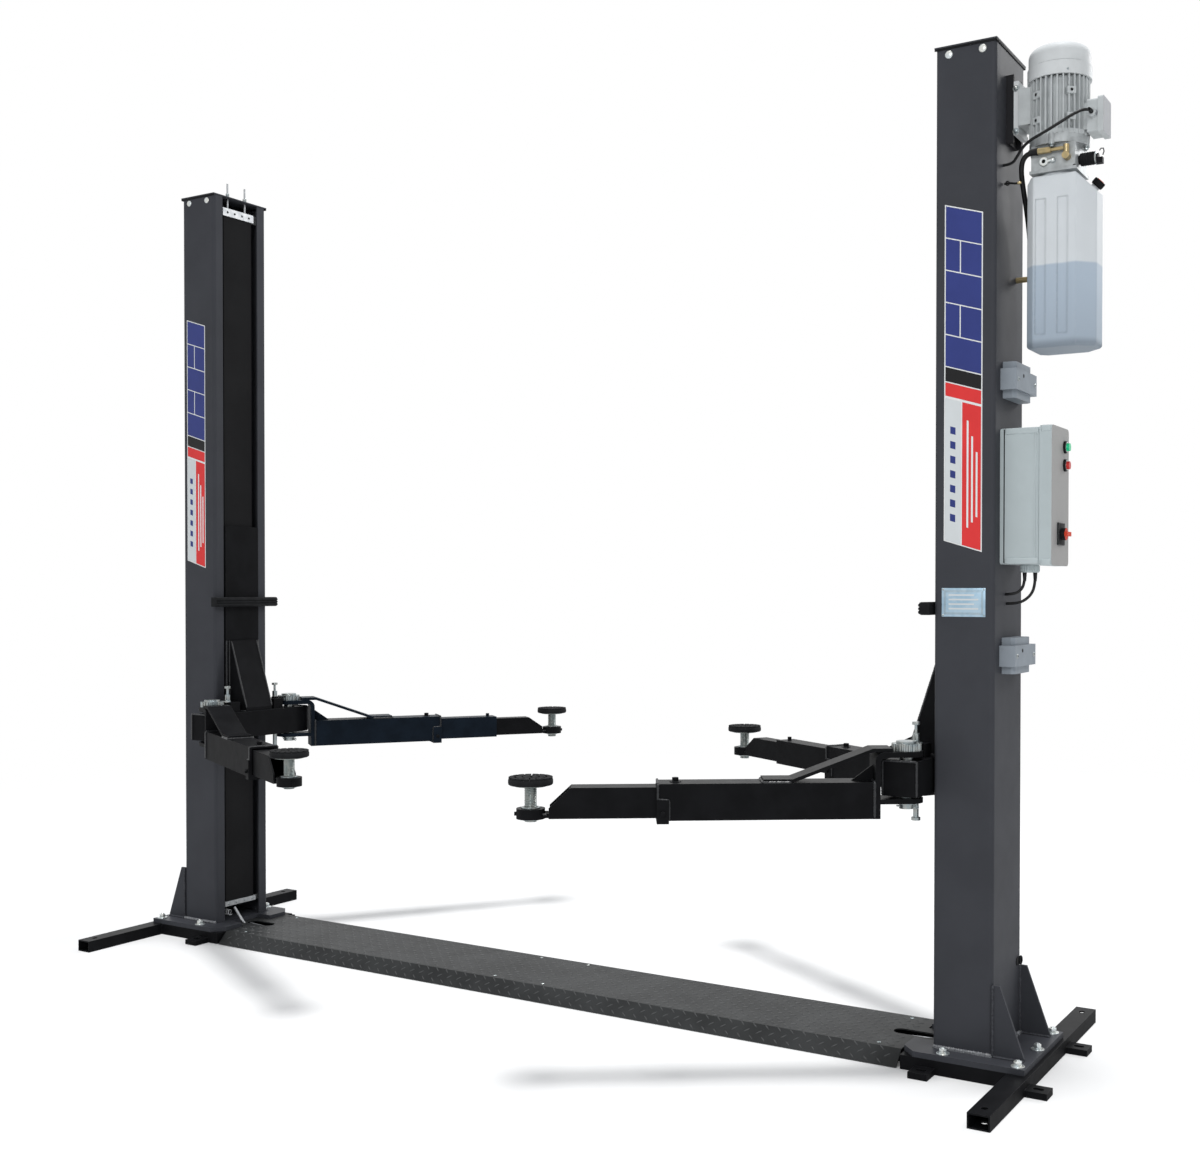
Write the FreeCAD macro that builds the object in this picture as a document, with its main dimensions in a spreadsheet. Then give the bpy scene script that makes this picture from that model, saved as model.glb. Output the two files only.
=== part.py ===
import FreeCAD, Part
import math
import os
import re

import Sketcher

# Two post car lift with a base frame, four swivelling telescopic arms and a hydraulic power unit.
# X runs from post to post, Y from the front of the lift to its rear, Z up.
# The origin is on the floor, midway between the posts. Sizes are in millimetres.

doc = FreeCAD.newDocument("TwoPostLift")
sheet = doc.addObject("Spreadsheet::Sheet", "Sizes")

SIZES = {
    "overshoot": 1,
    # Posts: a folded C section, open towards the middle of the lift
    "post_inner_x": 1435,
    "post_depth": 172,
    "post_half_width": 127,
    "post_wall": 6,
    "post_opening_half": 85,
    "post_bend_radius": 12,
    "post_top": 2820,
    "cap_thickness": 4,
    "cap_overhang": 3,
    # Base frame
    "rail_height": 40,
    "rail_wall": 4,
    "rail_width": 50,
    "rail_centre_y": 105,
    "tie_length": 60,
    "base_plate_thickness": 16,
    "base_plate_inner_x": 1360,
    "base_plate_outer_x": 1715,
    "base_plate_half": 187,
    "base_plate_corner": 40,
    "base_notch_half": 70,
    "base_notch_depth": 62,
    "outrigger_width": 60,
    "outrigger_outer_x": 1727,
    "outrigger_half_length": 507,
    "anchor_diameter": 18,
    "anchor_inset": 47,
    "foot_bar_width": 37,
    "foot_bar_inset": 2,
    "lug_length": 60,
    "lug_width": 56,
    "lug_height": 18,
    "lug_slot_length": 30,
    "lug_slot_width": 16,
    "front_lug_x": 1436,
    "side_lug_y": 200,
    "gusset_height": 196,
    "gusset_foot": 88,
    "gusset_head": 20,
    "gusset_thickness": 8,
    # Cover between the posts
    "cover_end_x": 1352,
    "cover_thickness": 4,
    "cover_top_half": 150,
    "cover_foot_half": 190,
    "cover_floor_gap": 2,
    "tongue_end_x": 1418,
    "tongue_half": 64,
    "cover_slot_start_x": 1270,
    "cover_slot_end_x": 1396,
    "cover_slot_width": 46,
    # Dust covers and their clamps
    "strip_inner_x": 1449,
    "strip_thickness": 3,
    "strip_half": 68,
    "strip_gap": 0.3,
    "clamp_bar_half": 75,
    "clamp_bar_thickness": 5,
    "top_clamp_drop": 67,
    "top_clamp_bottom": "=post_top - top_clamp_drop",
    "top_clamp_height": 30,
    "bottom_clamp_bottom": 108,
    "bottom_clamp_height": 18,
    "crossbar_thickness": 8,
    "tension_rod_diameter": 7,
    "tension_rod_y": 42,
    "tension_rod_gap": 1,
    "tension_rod_rise": 56,
    # Carriages
    "carriage_front_x": 1430,
    "carriage_depth": 140,
    "carriage_half_width": 80,
    "carriage_wall": 8,
    "carriage_bottom": 765,
    "carriage_top": 1567,
    "slide_block_height": 120,
    "slide_block_depth": 60,
    "slide_gap": 0.5,
    "beam_depth": 100,
    "beam_height": 97,
    "beam_half_length": 240,
    "beam_wall": 8,
    "cheek_half_width": 63,
    "cheek_plate": 8,
    "cheek_top": 1130,
    "cheek_foot_drop": 14,
    "bumper_half_width": 150,
    "bumper_bottom": 1260,
    "bumper_height": 36,
    "bumper_depth": 33,
    # Arm pivots
    "pivot_y": 190,
    "pin_diameter": 40,
    "pin_gap": 0.5,
    "pin_bottom": 727,
    "pin_head_height": 6,
    "pin_head_diameter": 56,
    "clip_diameter": 52,
    "clip_thickness": 5,
    "top_tab_bottom": 872,
    "top_tab_thickness": 15,
    "bottom_tab_bottom": 745,
    "bottom_tab_thickness": 13,
    "tab_radius": 46,
    "yoke_inner": 80,
    "yoke_thickness": 14,
    "yoke_outer_bend": 26,
    "yoke_inner_bend": 12,
    "gear_thickness": 20,
    "gear_tip_radius": 41,
    "gear_root_radius": 37,
    "gear_teeth": 20,
    "gear_tooth_sink": 2,
    "gear_tooth_root": 9,
    "gear_tooth_tip": 4,
    # Arm locks
    "lock_y": 117,
    "lock_rod_diameter": 16,
    "lock_rod_gap": 1,
    "lock_rod_bottom": 692,
    "lock_rod_top": 960,
    "lock_shoulder_diameter": 19,
    "lock_shoulder_gap": 6,
    "lock_shoulder_height": 22,
    "lock_neck_diameter": 9,
    "lock_knob_diameter": 22,
    "lock_knob_height": 8,
    "lock_foot_diameter": 26,
    "lock_foot_height": 8,
    "lock_block_length": 62,
    "lock_block_inner": 32,
    "lock_block_outer": 12,
    "lock_block_height": 38,
    # Arm tubes
    "arm_bottom": 705,
    "arm_height": 100,
    "arm_width": 90,
    "arm_wall": 6,
    "arm_side_gap": 3,
    "arm_seat_gap": 0.3,
    "arm_top_gap": 4,
    "mouth_lug_length": 33,
    "mouth_lug_thickness": 6,
    "mouth_lug_drop": 8,
    "mouth_lug_rise": 57,
    "brace_width": 84,
    "brace_thickness": 10,
    "brace_start": 46,
    "brace_bend": 100,
    "brace_landing": 320,
    "brace_end": 400,
    "yoke_web_height": 44,
    "yoke_web_reach": 60,
    "yoke_web_thickness": 10,
    "front_outer_end": 690,
    "front_inner_length": 550,
    "rear_outer_end": 600,
    "middle_end_rear_left": 835,
    "middle_end_rear_right": 920,
    "rear_middle_length": 480,
    "rear_inner_length": 440,
    "middle_wall": 5,
    "nose_setback": 50,
    "nose_slant": 60,
    "stop_knob_diameter": 14,
    "stop_knob_height": 12,
    "stop_knob_inset": 30,
    "ring_outer_diameter": 78,
    "ring_height": 28,
    "ring_drop": 3,
    "neck_lift": 6,
    # Arm stations: reach to the pad and swing from straight in
    "reach_front_right": 1031,
    "swing_front_right": 33.4,
    "reach_front_left": 977,
    "swing_front_left": 27.4,
    "reach_rear_left": 1086,
    "swing_rear_left": 53,
    "reach_rear_right": 1194,
    "swing_rear_right": 30.3,
    # Lifting pads
    "screw_diameter": 34,
    "screw_gap": 1,
    "screw_bottom": 700,
    "screw_plate_diameter": 90,
    "screw_plate_thickness": 6,
    "pad_diameter": 122,
    "pad_bottom": 800,
    "pad_height": 22,
    # Lock mechanism covers
    "lock_cover_y": 14,
    "lock_band_half": 94,
    "lock_band_height": 58,
    "lock_band_depth": 45,
    "lock_housing_half": 73,
    "lock_housing_height": 100,
    "lock_housing_depth": 36,
    "lock_cover_chamfer": 10,
    "lock_cover_wall": 4,
    "lock_over_box": 135,
    "lock_below_box": 252,
    "upper_lock_z": "=box_bottom + box_height + lock_over_box",
    "lower_lock_z": "=box_bottom - lock_below_box",
    # Control box
    "box_half_width": 80,
    "box_height": 372,
    "box_gap": 213,
    "box_bottom": "=tank_bottom - box_gap - box_height",
    "box_base_depth": 110,
    "box_lid_depth": 34,
    "box_wall": 4,
    "box_round": 10,
    "lid_rim": 4,
    "button_y": 42,
    "up_button_drop": 48,
    "down_button_drop": 98,
    "up_button_z": "=box_bottom + box_height - up_button_drop",
    "down_button_z": "=box_bottom + box_height - down_button_drop",
    "button_diameter": 22,
    "bezel_diameter": 29,
    "bezel_depth": 6,
    "button_stand": 9,
    "button_gap": 0.5,
    "switch_lift": 83,
    "switch_z": "=box_bottom + switch_lift",
    "switch_plate_half": 30,
    "switch_plate_depth": 5,
    "switch_hub_diameter": 34,
    "switch_hub_depth": 12,
    "switch_grip_length": 42,
    "switch_grip_width": 12,
    "switch_grip_depth": 20,
    "gland_diameter": 50,
    "gland_length": 22,
    "gland_inset_x": 63,
    "gland_y": -8,
    "motor_gland_inset": 16,
    "motor_gland_diameter": 24,
    "motor_gland_length": 18,
    "motor_gland_rise": 51,
    # Power unit
    "unit_axis_x": 1744,
    "motor_drop": 264,
    "motor_bottom": "=post_top - motor_drop",
    "motor_height": 156,
    "motor_body_radius": 68,
    "fin_tip_radius": 81,
    "fin_thickness": 4,
    "fin_sink": 3,
    "fin_count": 32,
    "motor_flange_radius": 78,
    "motor_flange_thickness": 12,
    "motor_foot_half": 44,
    "motor_foot_lift": 46,
    "motor_foot_height": 100,
    "boss_width": 24,
    "boss_height": 18,
    "boss_stand": 3,
    "boss_near_angle": 52,
    "boss_far_angle": 122,
    "boss_low": 34,
    "boss_pitch": 69,
    "cowl_radius": 86,
    "cowl_skirt": 36,
    "cowl_step": 3,
    "cowl_height": 91,
    "cowl_wall": 3,
    "cowl_dome": 24,
    "vent_count": 14,
    "vent_width": 5,
    "vent_inner": 18,
    "vent_outer": 56,
    "bracket_leg": 21,
    "bracket_plate": 8,
    "bracket_half": 40,
    "bracket_lift": 4,
    "bracket_bottom": "=motor_bottom + bracket_lift",
    "bracket_height": 186,
    "mount_plate_thickness": 14,
    "mount_plate_inset": 20,
    "terminal_stand": 4,
    "terminal_depth": 44,
    "terminal_lid": 15,
    "terminal_half": 42,
    "terminal_drop": 3,
    "terminal_bottom": "=motor_bottom - terminal_drop",
    "terminal_height": 96,
    "terminal_round": 6,
    "terminal_rim": 4,
    "terminal_seat_inset": 12,
    "pump_bell_radius": 78,
    "bell_boss_radius": 9,
    "bell_boss_circle": 74,
    "bell_boss_drop": 4,
    "bell_boss_count": 4,
    "pump_block_half": 60,
    "pump_bell_height": 24,
    "pump_block_height": 66,
    "pump_foot_rim": 4,
    "pump_foot_thickness": 8,
    "pump_body_bottom": "=motor_bottom - pump_bell_height - pump_block_height",
    "pump_bottom": "=pump_body_bottom - pump_foot_thickness",
    "tank_inner_x": 1672,
    "tank_length": 183,
    "tank_half_width": 75,
    "tank_height": 461,
    "tank_neck_length": 12,
    "tank_top": "=pump_bottom - tank_neck_length",
    "tank_bottom": "=tank_top - tank_height",
    "tank_slope_in": 14,
    "tank_slope_out": 46,
    "tank_corner_in": 22,
    "tank_corner_out": 44,
    "tank_round": 10,
    "tank_neck_radius": 56,
    "panel_count": 2,
    "panel_width": 28,
    "panel_pitch": 60,
    "panel_height": 365,
    "panel_lift": 35,
    "panel_depth": 3,
    "tank_cap_radius": 16,
    "tank_cap_height": 18,
    "tank_spout_radius": 12,
    "tank_spout_length": 14,
    "tank_spout_sink": 8,
    "tank_spout_inset": 15,
    "tank_spout_tilt": 45,
    "valve_radius": 17,
    "valve_length": 39,
    "valve_nut_radius": 12,
    "valve_nut_length": 5,
    "valve_rise": 24,
    "valve_z": "=pump_body_bottom + valve_rise",
    "valve_ring_length": 8,
    "valve_y": -20,
    "valve_plug_length": 20,
    "valve_plug_half": 8,
    "fitting_radius": 10,
    "fitting_stand": 22,
    "fitting_rise": 26,
    "fitting_z": "=pump_body_bottom + fitting_rise",
    "elbow_radius": 8,
    "elbow_y": -72,
    "pipe_radius": 5,
    "pipe_length": 41,
    "pipe_rise": 48,
    "pipe_z": "=pump_body_bottom + pipe_rise",
    "fitting_x": 1783,
    "ferrule_radius": 8.5,
    "ferrule_length": 36,
    "port_x": 1648,
    "port_y": 60,
    "port_drop": 218,
    "port_top": "=tank_top - port_drop",
    # Cords
    "hose_diameter": 14,
    "motor_cable_diameter": 8,
    "control_cable_diameter": 8,
}

for row, (word, value) in enumerate(SIZES.items(), start=1):
    sheet.set(f"A{row}", word)
    sheet.set(f"B{row}", str(value))
    sheet.setAlias(f"B{row}", word)
doc.recompute()

WORD = re.compile(r"[a-z][a-z_0-9]*")


def bound(text):
    """Turn a formula of size names into one that the document can bind."""
    return WORD.sub(lambda m: f"Sizes.{m.group()}" if m.group() in SIZES else m.group(), text)


def size(name):
    """Read one size from the sheet."""
    return float(getattr(sheet, name))


def bind(item, **formulas):
    """Bind the properties of one object to formulas of the sheet."""
    for prop, text in formulas.items():
        item.setExpression(prop, bound(str(text)))
    return item


def at(item, x="0", y="0", z="0"):
    """Bind the place of one object."""
    item.setExpression(".Placement.Base.x", bound(str(x)))
    item.setExpression(".Placement.Base.y", bound(str(y)))
    item.setExpression(".Placement.Base.z", bound(str(z)))
    return item


def box(name, x, y, z):
    """Make a box between pairs of formulas (low, high) along each axis."""
    item = doc.addObject("Part::Box", name)
    bind(item, Length=f"({x[1]}) - ({x[0]})", Width=f"({y[1]}) - ({y[0]})", Height=f"({z[1]}) - ({z[0]})")
    return at(item, x[0], y[0], z[0])


def cylinder(name, radius, height, x="0", y="0", z="0"):
    """Make an upright cylinder on a point."""
    item = doc.addObject("Part::Cylinder", name)
    bind(item, Radius=radius, Height=height)
    return at(item, x, y, z)


def turned(item, axis, angle):
    """Turn an object about its own base point."""
    item.Placement.Rotation = FreeCAD.Rotation(axis, angle)
    return item


def fuse(name, items):
    """Join touching pieces into one solid."""
    joined = doc.addObject("Part::MultiFuse", name)
    joined.Shapes = items
    joined.Refine = True
    return joined


def cut(name, base, tools):
    """Cut one or more tools out of a base."""
    item = doc.addObject("Part::Cut", name)
    item.Base = base
    item.Tool = tools[0] if len(tools) == 1 else group(name + "Tools", tools)
    item.Refine = True
    return item


def group(name, items):
    """Hold separate solids in one object."""
    item = doc.addObject("Part::Compound", name)
    item.Links = items
    return item


def side(sign, low, high):
    """Mirror a span along X for the left post."""
    if sign > 0:
        return (low, high)
    return (f"-({high})", f"-({low})")


PLANES = {"XY": "XY_Plane", "XZ": "XZ_Plane", "YZ": "YZ_Plane"}


def base_plane(body, name):
    """Find an origin plane of a body."""
    for feature in body.Origin.OriginFeatures:
        if feature.Role == PLANES[name]:
            return feature
    raise RuntimeError(f"no plane {name}")


def outline(sketch, points):
    """Draw a closed outline whose corners are bound to formulas."""
    values = [tuple(evaluate(text) for text in point) for point in points]
    count = len(points)
    first = sketch.GeometryCount
    for index in range(count):
        start = values[index]
        end = values[(index + 1) % count]
        line = Part.LineSegment(FreeCAD.Vector(*start, 0), FreeCAD.Vector(*end, 0))
        sketch.addGeometry(line, False)
    for index in range(count):
        geometry = first + index
        following = first + (index + 1) % count
        sketch.addConstraint(Sketcher.Constraint("Coincident", geometry, 2, following, 1))
    for index, point in enumerate(points):
        for kind, text, value in zip(("DistanceX", "DistanceY"), point, values[index]):
            number = sketch.addConstraint(Sketcher.Constraint(kind, -1, 1, first + index, 1, value))
            sketch.setExpression(f"Constraints[{number}]", bound(str(text)))


def circle(sketch, x, y, radius):
    """Draw a circle bound to formulas."""
    centre = FreeCAD.Vector(evaluate(x), evaluate(y), 0)
    round_line = sketch.addGeometry(Part.Circle(centre, FreeCAD.Vector(0, 0, 1), evaluate(radius)), False)
    for kind, text in (("DistanceX", x), ("DistanceY", y)):
        number = sketch.addConstraint(
            Sketcher.Constraint(kind, -1, 1, round_line, 3, evaluate(text)))
        sketch.setExpression(f"Constraints[{number}]", bound(str(text)))
    number = sketch.addConstraint(Sketcher.Constraint("Radius", round_line, evaluate(radius)))
    sketch.setExpression(f"Constraints[{number}]", bound(str(radius)))


def evaluate(text):
    """Work out a formula of size names as a number."""
    return float(sheet.evalExpression(bound(str(text)).replace("Sizes.", "")))


def new_body(name):
    """Start a body."""
    return doc.addObject("PartDesign::Body", name)


def new_sketch(body, plane, offset="0"):
    """Start a sketch on an origin plane, moved out along its normal."""
    sketch = body.newObject("Sketcher::SketchObject", body.Name + "Sketch")
    sketch.AttachmentSupport = [(base_plane(body, plane), "")]
    sketch.MapMode = "FlatFace"
    sketch.setExpression(".AttachmentOffset.Base.z", bound(str(offset)))
    return sketch


def pad(body, sketch, length, midplane=False, backwards=False):
    """Raise a sketch into a solid."""
    feature = body.newObject("PartDesign::Pad", body.Name + "Pad")
    feature.Profile = sketch
    feature.setExpression("Length", bound(str(length)))
    feature.Midplane = midplane
    feature.Reversed = backwards
    return feature


def pocket(body, sketch, length, midplane=False, backwards=False):
    """Cut a sketch out of the solid."""
    feature = body.newObject("PartDesign::Pocket", body.Name + "Pocket")
    feature.Profile = sketch
    feature.setExpression("Length", bound(str(length)))
    feature.Midplane = midplane
    feature.Reversed = backwards
    return feature


def polar(body, feature, count):
    """Repeat a feature round the body's upright axis."""
    pattern = body.newObject("PartDesign::PolarPattern", feature.Name + "Ring")
    pattern.Originals = [feature]
    pattern.Axis = (base_axis(body), [""])
    pattern.Angle = 360
    pattern.setExpression("Occurrences", bound(count))
    body.Tip = pattern
    return pattern


def base_axis(body):
    """Find the upright origin axis of a body."""
    for feature in body.Origin.OriginFeatures:
        if feature.Role == "Z_Axis":
            return feature
    raise RuntimeError("no upright axis")


def rectangle(sketch, x, y):
    """Draw a rectangle between pairs of formulas."""
    outline(sketch, [(x[0], y[0]), (x[1], y[0]), (x[1], y[1]), (x[0], y[1])])


def extruded(name, plane, points, length, offset="0", midplane=False, backwards=False):
    """Make a body from one closed outline."""
    body = new_body(name)
    sketch = new_sketch(body, plane, offset)
    outline(sketch, points)
    pad(body, sketch, length, midplane, backwards)
    return body


NODES = {}


def node(label, item):
    """Name a finished sub-part."""
    item.Label = label
    NODES[label] = item
    return item


UP = FreeCAD.Vector(0, 0, 1)
ALONG_X = FreeCAD.Vector(1, 0, 0)
TOLERANCE = 0.000001
ALONG_Y = FreeCAD.Vector(0, 1, 0)
SIDES = {"left": -1, "right": 1}
ENDS = {"front": -1, "rear": 1}


# Posts
def post(name, sign):
    """A folded C section standing on its base plate."""
    inner = "post_inner_x"
    outer = "post_inner_x + post_depth"
    outer_line = [
        (inner, "-post_opening_half"),
        (inner, "-post_half_width"),
        (outer, "-post_half_width"),
        (outer, "post_half_width"),
        (inner, "post_half_width"),
        (inner, "post_opening_half"),
        (f"{inner} + post_wall", "post_opening_half"),
        (f"{inner} + post_wall", "post_half_width - post_wall"),
        (f"{outer} - post_wall", "post_half_width - post_wall"),
        (f"{outer} - post_wall", "post_wall - post_half_width"),
        (f"{inner} + post_wall", "post_wall - post_half_width"),
        (f"{inner} + post_wall", "-post_opening_half"),
    ]
    points = [(x if sign > 0 else f"-({x})", y) for x, y in outer_line]
    foot = "rail_height + base_plate_thickness"
    body = extruded(name, "XY", points, f"post_top - ({foot})", foot)
    doc.recompute()
    corners = []
    for number, edge in enumerate(body.Shape.Edges, start=1):
        start, end = edge.Vertexes[0].Point, edge.Vertexes[-1].Point
        upright = abs(start.x - end.x) < TOLERANCE and abs(start.y - end.y) < TOLERANCE
        if upright and abs(abs(start.y) - size("post_half_width")) < TOLERANCE:
            corners.append(f"Edge{number}")
    section = body.Tip
    bend = body.newObject("PartDesign::Fillet", name + "Bend")
    bend.Base = (section, corners)
    bend.setExpression("Radius", bound("post_bend_radius"))
    body.Tip = bend
    return body


def tension_rods(name, radius):
    """Two rods that stretch the left dust cover, from its crossbar out through the cap."""
    x = "-(strip_inner_x + strip_thickness + strip_gap + crossbar_thickness / 2)"
    rods = []
    for end_name, end in ENDS.items():
        rods.append(cylinder(
            name + end_name, radius, "post_top + cap_thickness + tension_rod_rise - top_clamp_bottom", x,
            f"{end} * tension_rod_y", "top_clamp_bottom"))
    return rods


for side_name, sign in SIDES.items():
    cap = box(
        f"Cap{side_name}",
        side(sign, "post_inner_x - cap_overhang", "post_inner_x + post_depth + cap_overhang"),
        ("-post_half_width - cap_overhang", "post_half_width + cap_overhang"),
        ("post_top", "post_top + cap_thickness"),
    )
    if side_name == "left":
        cap = cut("DrilledCap", cap, tension_rods("CapHole", "tension_rod_diameter / 2 + tension_rod_gap"))
    node(f"post_{side_name}", fuse(f"CappedPost{side_name}", [post(f"Post{side_name}", sign), cap]))


# Base frame
def base_plate(name, sign):
    """Thick plate under a post, its inner corners cut, notched for the cover."""
    inner, outer, half = "base_plate_inner_x", "base_plate_outer_x", "base_plate_half"
    cut_x, cut_y = f"{inner} + base_plate_corner", f"{half} - base_plate_corner"
    notch = f"{inner} + base_notch_depth"
    points = [
        (cut_x, f"-{half}"), (outer, f"-{half}"), (outer, half), (cut_x, half),
        (inner, cut_y), (inner, "base_notch_half"), (notch, "base_notch_half"),
        (notch, "-base_notch_half"), (inner, "-base_notch_half"), (inner, f"-({cut_y})"),
    ]
    points = [(x if sign > 0 else f"-({x})", y) for x, y in points]
    return extruded(name, "XY", points, "base_plate_thickness", "rail_height")


node("base_plates", group("BasePlates", [base_plate(f"BasePlate{n}", s) for n, s in SIDES.items()]))


def tube_along_y(name, x, half, z, wall):
    """Rectangular tube open at both ends, along Y."""
    outer = box(name + "Outer", x, (f"-({half})", half), z)
    bore = box(
        name + "Bore", (f"{x[0]} + {wall}", f"{x[1]} - {wall}"),
        (f"-({half}) - {wall}", f"{half} + {wall}"), (f"{z[0]} + {wall}", f"{z[1]} - {wall}"))
    return outer, bore


def lug(name, x, y, along_x):
    """Slotted anchor lug centred on a point; its slot runs along X."""
    long_half, wide_half = "lug_length / 2", "lug_width / 2"
    if not along_x:
        long_half, wide_half = wide_half, long_half
    slot_long, slot_wide = "lug_slot_length / 2", "lug_slot_width / 2"
    plate = box(name + "Plate", (f"{x} - {long_half}", f"{x} + {long_half}"),
                (f"{y} - {wide_half}", f"{y} + {wide_half}"), ("0", "lug_height"))
    flat = f"{slot_long} - {slot_wide}"
    tools = [box(name + "Slot", (f"{x} - ({flat})", f"{x} + {flat}"),
                 (f"{y} - {slot_wide}", f"{y} + {slot_wide}"), ("-lug_height", "2 * lug_height"))]
    for place, centre in (("Near", f"{x} - ({flat})"), ("Far", f"{x} + {flat}")):
        tools.append(cylinder(name + place, slot_wide, "3 * lug_height", centre, y, "-lug_height"))
    return cut(name, plate, tools)


def foot_frame(name, sign):
    """Outrigger tube with the two bars and the lugs that carry a post."""
    outrigger_inner = "outrigger_outer_x - outrigger_width"
    x = side(sign, outrigger_inner, "outrigger_outer_x")
    outer, bore = tube_along_y(name + "Tube", x, "outrigger_half_length", ("0", "rail_height"), "rail_wall")
    pieces = [cut(name + "Hollow", outer, [bore])]
    centre = f"{sign} * (outrigger_outer_x - outrigger_width / 2)"
    holes = []
    for end_name, end in ENDS.items():
        near = "base_plate_half - foot_bar_width"
        y = (near, "base_plate_half") if end > 0 else ("-base_plate_half", f"-({near})")
        pieces.append(box(
            f"{name}Bar{end_name}",
            side(sign, "base_plate_inner_x + foot_bar_inset", outrigger_inner), y, ("0", "rail_height")))
        pieces.append(lug(
            f"{name}EndLug{end_name}", f"{sign} * front_lug_x",
            f"{end} * (base_plate_half + lug_length / 2)", False))
        pieces.append(lug(
            f"{name}SideLug{end_name}", f"{sign} * (outrigger_outer_x + lug_length / 2)",
            f"{end} * side_lug_y", True))
        holes.append(cylinder(
            f"{name}Anchor{end_name}", "anchor_diameter / 2", "3 * rail_height", centre,
            f"{end} * (outrigger_half_length - anchor_inset)", "-rail_height"))
    return cut(name, fuse(name + "Joined", pieces), holes)


node("foot_frames", group("FootFrames", [foot_frame(f"Foot{n}", s) for n, s in SIDES.items()]))

rail_end = "outrigger_outer_x - outrigger_width"
rails = []
for end_name, end in ENDS.items():
    low = "rail_centre_y - rail_width / 2"
    high = "rail_centre_y + rail_width / 2"
    y = (low, high) if end > 0 else (f"-({high})", f"-({low})")
    outer = box(f"Rail{end_name}", (f"-({rail_end})", rail_end), y, ("0", "rail_height"))
    bore = box(
        f"RailBore{end_name}", (f"-({rail_end}) - overshoot", f"{rail_end} + overshoot"),
        (f"{y[0]} + rail_wall", f"{y[1]} - rail_wall"), ("rail_wall", "rail_height - rail_wall"))
    rails.append(cut(f"RailTube{end_name}", outer, [bore]))
rails.append(box(
    "MiddleTie", ("-tie_length / 2", "tie_length / 2"),
    ("-(rail_centre_y - rail_width / 2)", "rail_centre_y - rail_width / 2"), ("0", "rail_height")))
node("base_rails", fuse("BaseRails", rails))


def gusset(name, sign, end):
    """Triangular stiffener between a base plate and a post."""
    post_face = "post_inner_x + post_depth"
    foot = "rail_height + base_plate_thickness"
    points = [
        (post_face, foot), (f"{post_face} + gusset_foot", foot),
        (f"{post_face} + gusset_foot", f"{foot} + gusset_thickness"),
        (f"{post_face} + gusset_head", f"{foot} + gusset_height"),
        (post_face, f"{foot} + gusset_height"),
    ]
    points = [(x if sign > 0 else f"-({x})", z) for x, z in points]
    offset = "post_half_width - gusset_thickness" if end < 0 else "-post_half_width"
    return extruded(name, "XZ", points, "gusset_thickness", offset)


gussets = []
for side_name, sign in SIDES.items():
    for end_name, end in ENDS.items():
        gussets.append(gusset(f"Gusset{side_name}{end_name}", sign, end))
node("post_gussets", group("PostGussets", gussets))


# Cover between the posts
def cover():
    """Folded sheet over the rails with a tongue and a slot at each post."""
    body = new_body("Cover")
    sketch = new_sketch(body, "YZ")
    top = "rail_height + cover_thickness"
    foot = "cover_foot_half"
    inside_foot = "cover_foot_half - cover_thickness"
    inside_top = "cover_top_half - cover_thickness / 2"
    outline(sketch, [
        (f"-{foot}", "cover_floor_gap"), (f"-({inside_foot})", "cover_floor_gap"),
        (f"-({inside_top})", "rail_height"), (inside_top, "rail_height"),
        (inside_foot, "cover_floor_gap"), (foot, "cover_floor_gap"),
        ("cover_top_half", top), ("-cover_top_half", top),
    ])
    pad(body, sketch, "2 * cover_end_x", midplane=True)
    pieces = [body]
    for side_name, sign in SIDES.items():
        pieces.append(box(
            f"Tongue{side_name}", side(sign, "cover_end_x", "tongue_end_x"),
            ("-tongue_half", "tongue_half"), ("rail_height", top)))
    slots = []
    for side_name, sign in SIDES.items():
        radius = "cover_slot_width / 2"
        slots.append(box(
            f"CoverSlot{side_name}",
            side(sign, f"cover_slot_start_x + {radius}", f"cover_slot_end_x - {radius}"),
            (f"-{radius}", radius), ("rail_height - overshoot", f"{top} + overshoot")))
        for place, x in (("Near", "cover_slot_start_x + cover_slot_width / 2"),
                         ("Far", "cover_slot_end_x - cover_slot_width / 2")):
            slots.append(cylinder(
                f"CoverSlot{place}{side_name}", radius, "cover_thickness + 2 * overshoot",
                f"{sign} * ({x})", "0", "rail_height - overshoot"))
    return cut("CoverPlate", fuse("CoverJoined", pieces), slots)


node("cover_plate", cover())

# Dust covers hang in the post openings between clamped bars
strips = []
clamps = []
for side_name, sign in SIDES.items():
    strip_outer = "strip_inner_x + strip_thickness"
    strips.append(box(
        f"Strip{side_name}", side(sign, "strip_inner_x", strip_outer),
        ("-strip_half", "strip_half"),
        ("bottom_clamp_bottom", "top_clamp_bottom + top_clamp_height")))
    for level, bottom, height in (
            ("Top", "top_clamp_bottom", "top_clamp_height"),
            ("Bottom", "bottom_clamp_bottom", "bottom_clamp_height")):
        clamps.append(box(
            f"ClampBar{level}{side_name}",
            side(sign, "strip_inner_x - strip_gap - clamp_bar_thickness", "strip_inner_x - strip_gap"),
            ("-clamp_bar_half", "clamp_bar_half"), (bottom, f"{bottom} + {height}")))
        crossbar = [box(
            f"Crossbar{level}{side_name}",
            side(sign, f"{strip_outer} + strip_gap", f"{strip_outer} + strip_gap + crossbar_thickness"),
            ("post_wall - post_half_width", "post_half_width - post_wall"),
            (bottom, f"{bottom} + {height}"))]
        if (level, side_name) == ("Top", "left"):
            crossbar += tension_rods("TensionRod", "tension_rod_diameter / 2")
        clamps.append(fuse(f"Tension{level}{side_name}", crossbar) if len(crossbar) > 1 else crossbar[0])
node("dust_covers", group("DustCovers", strips))
node("cover_clamps", group("CoverClamps", clamps))


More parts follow.
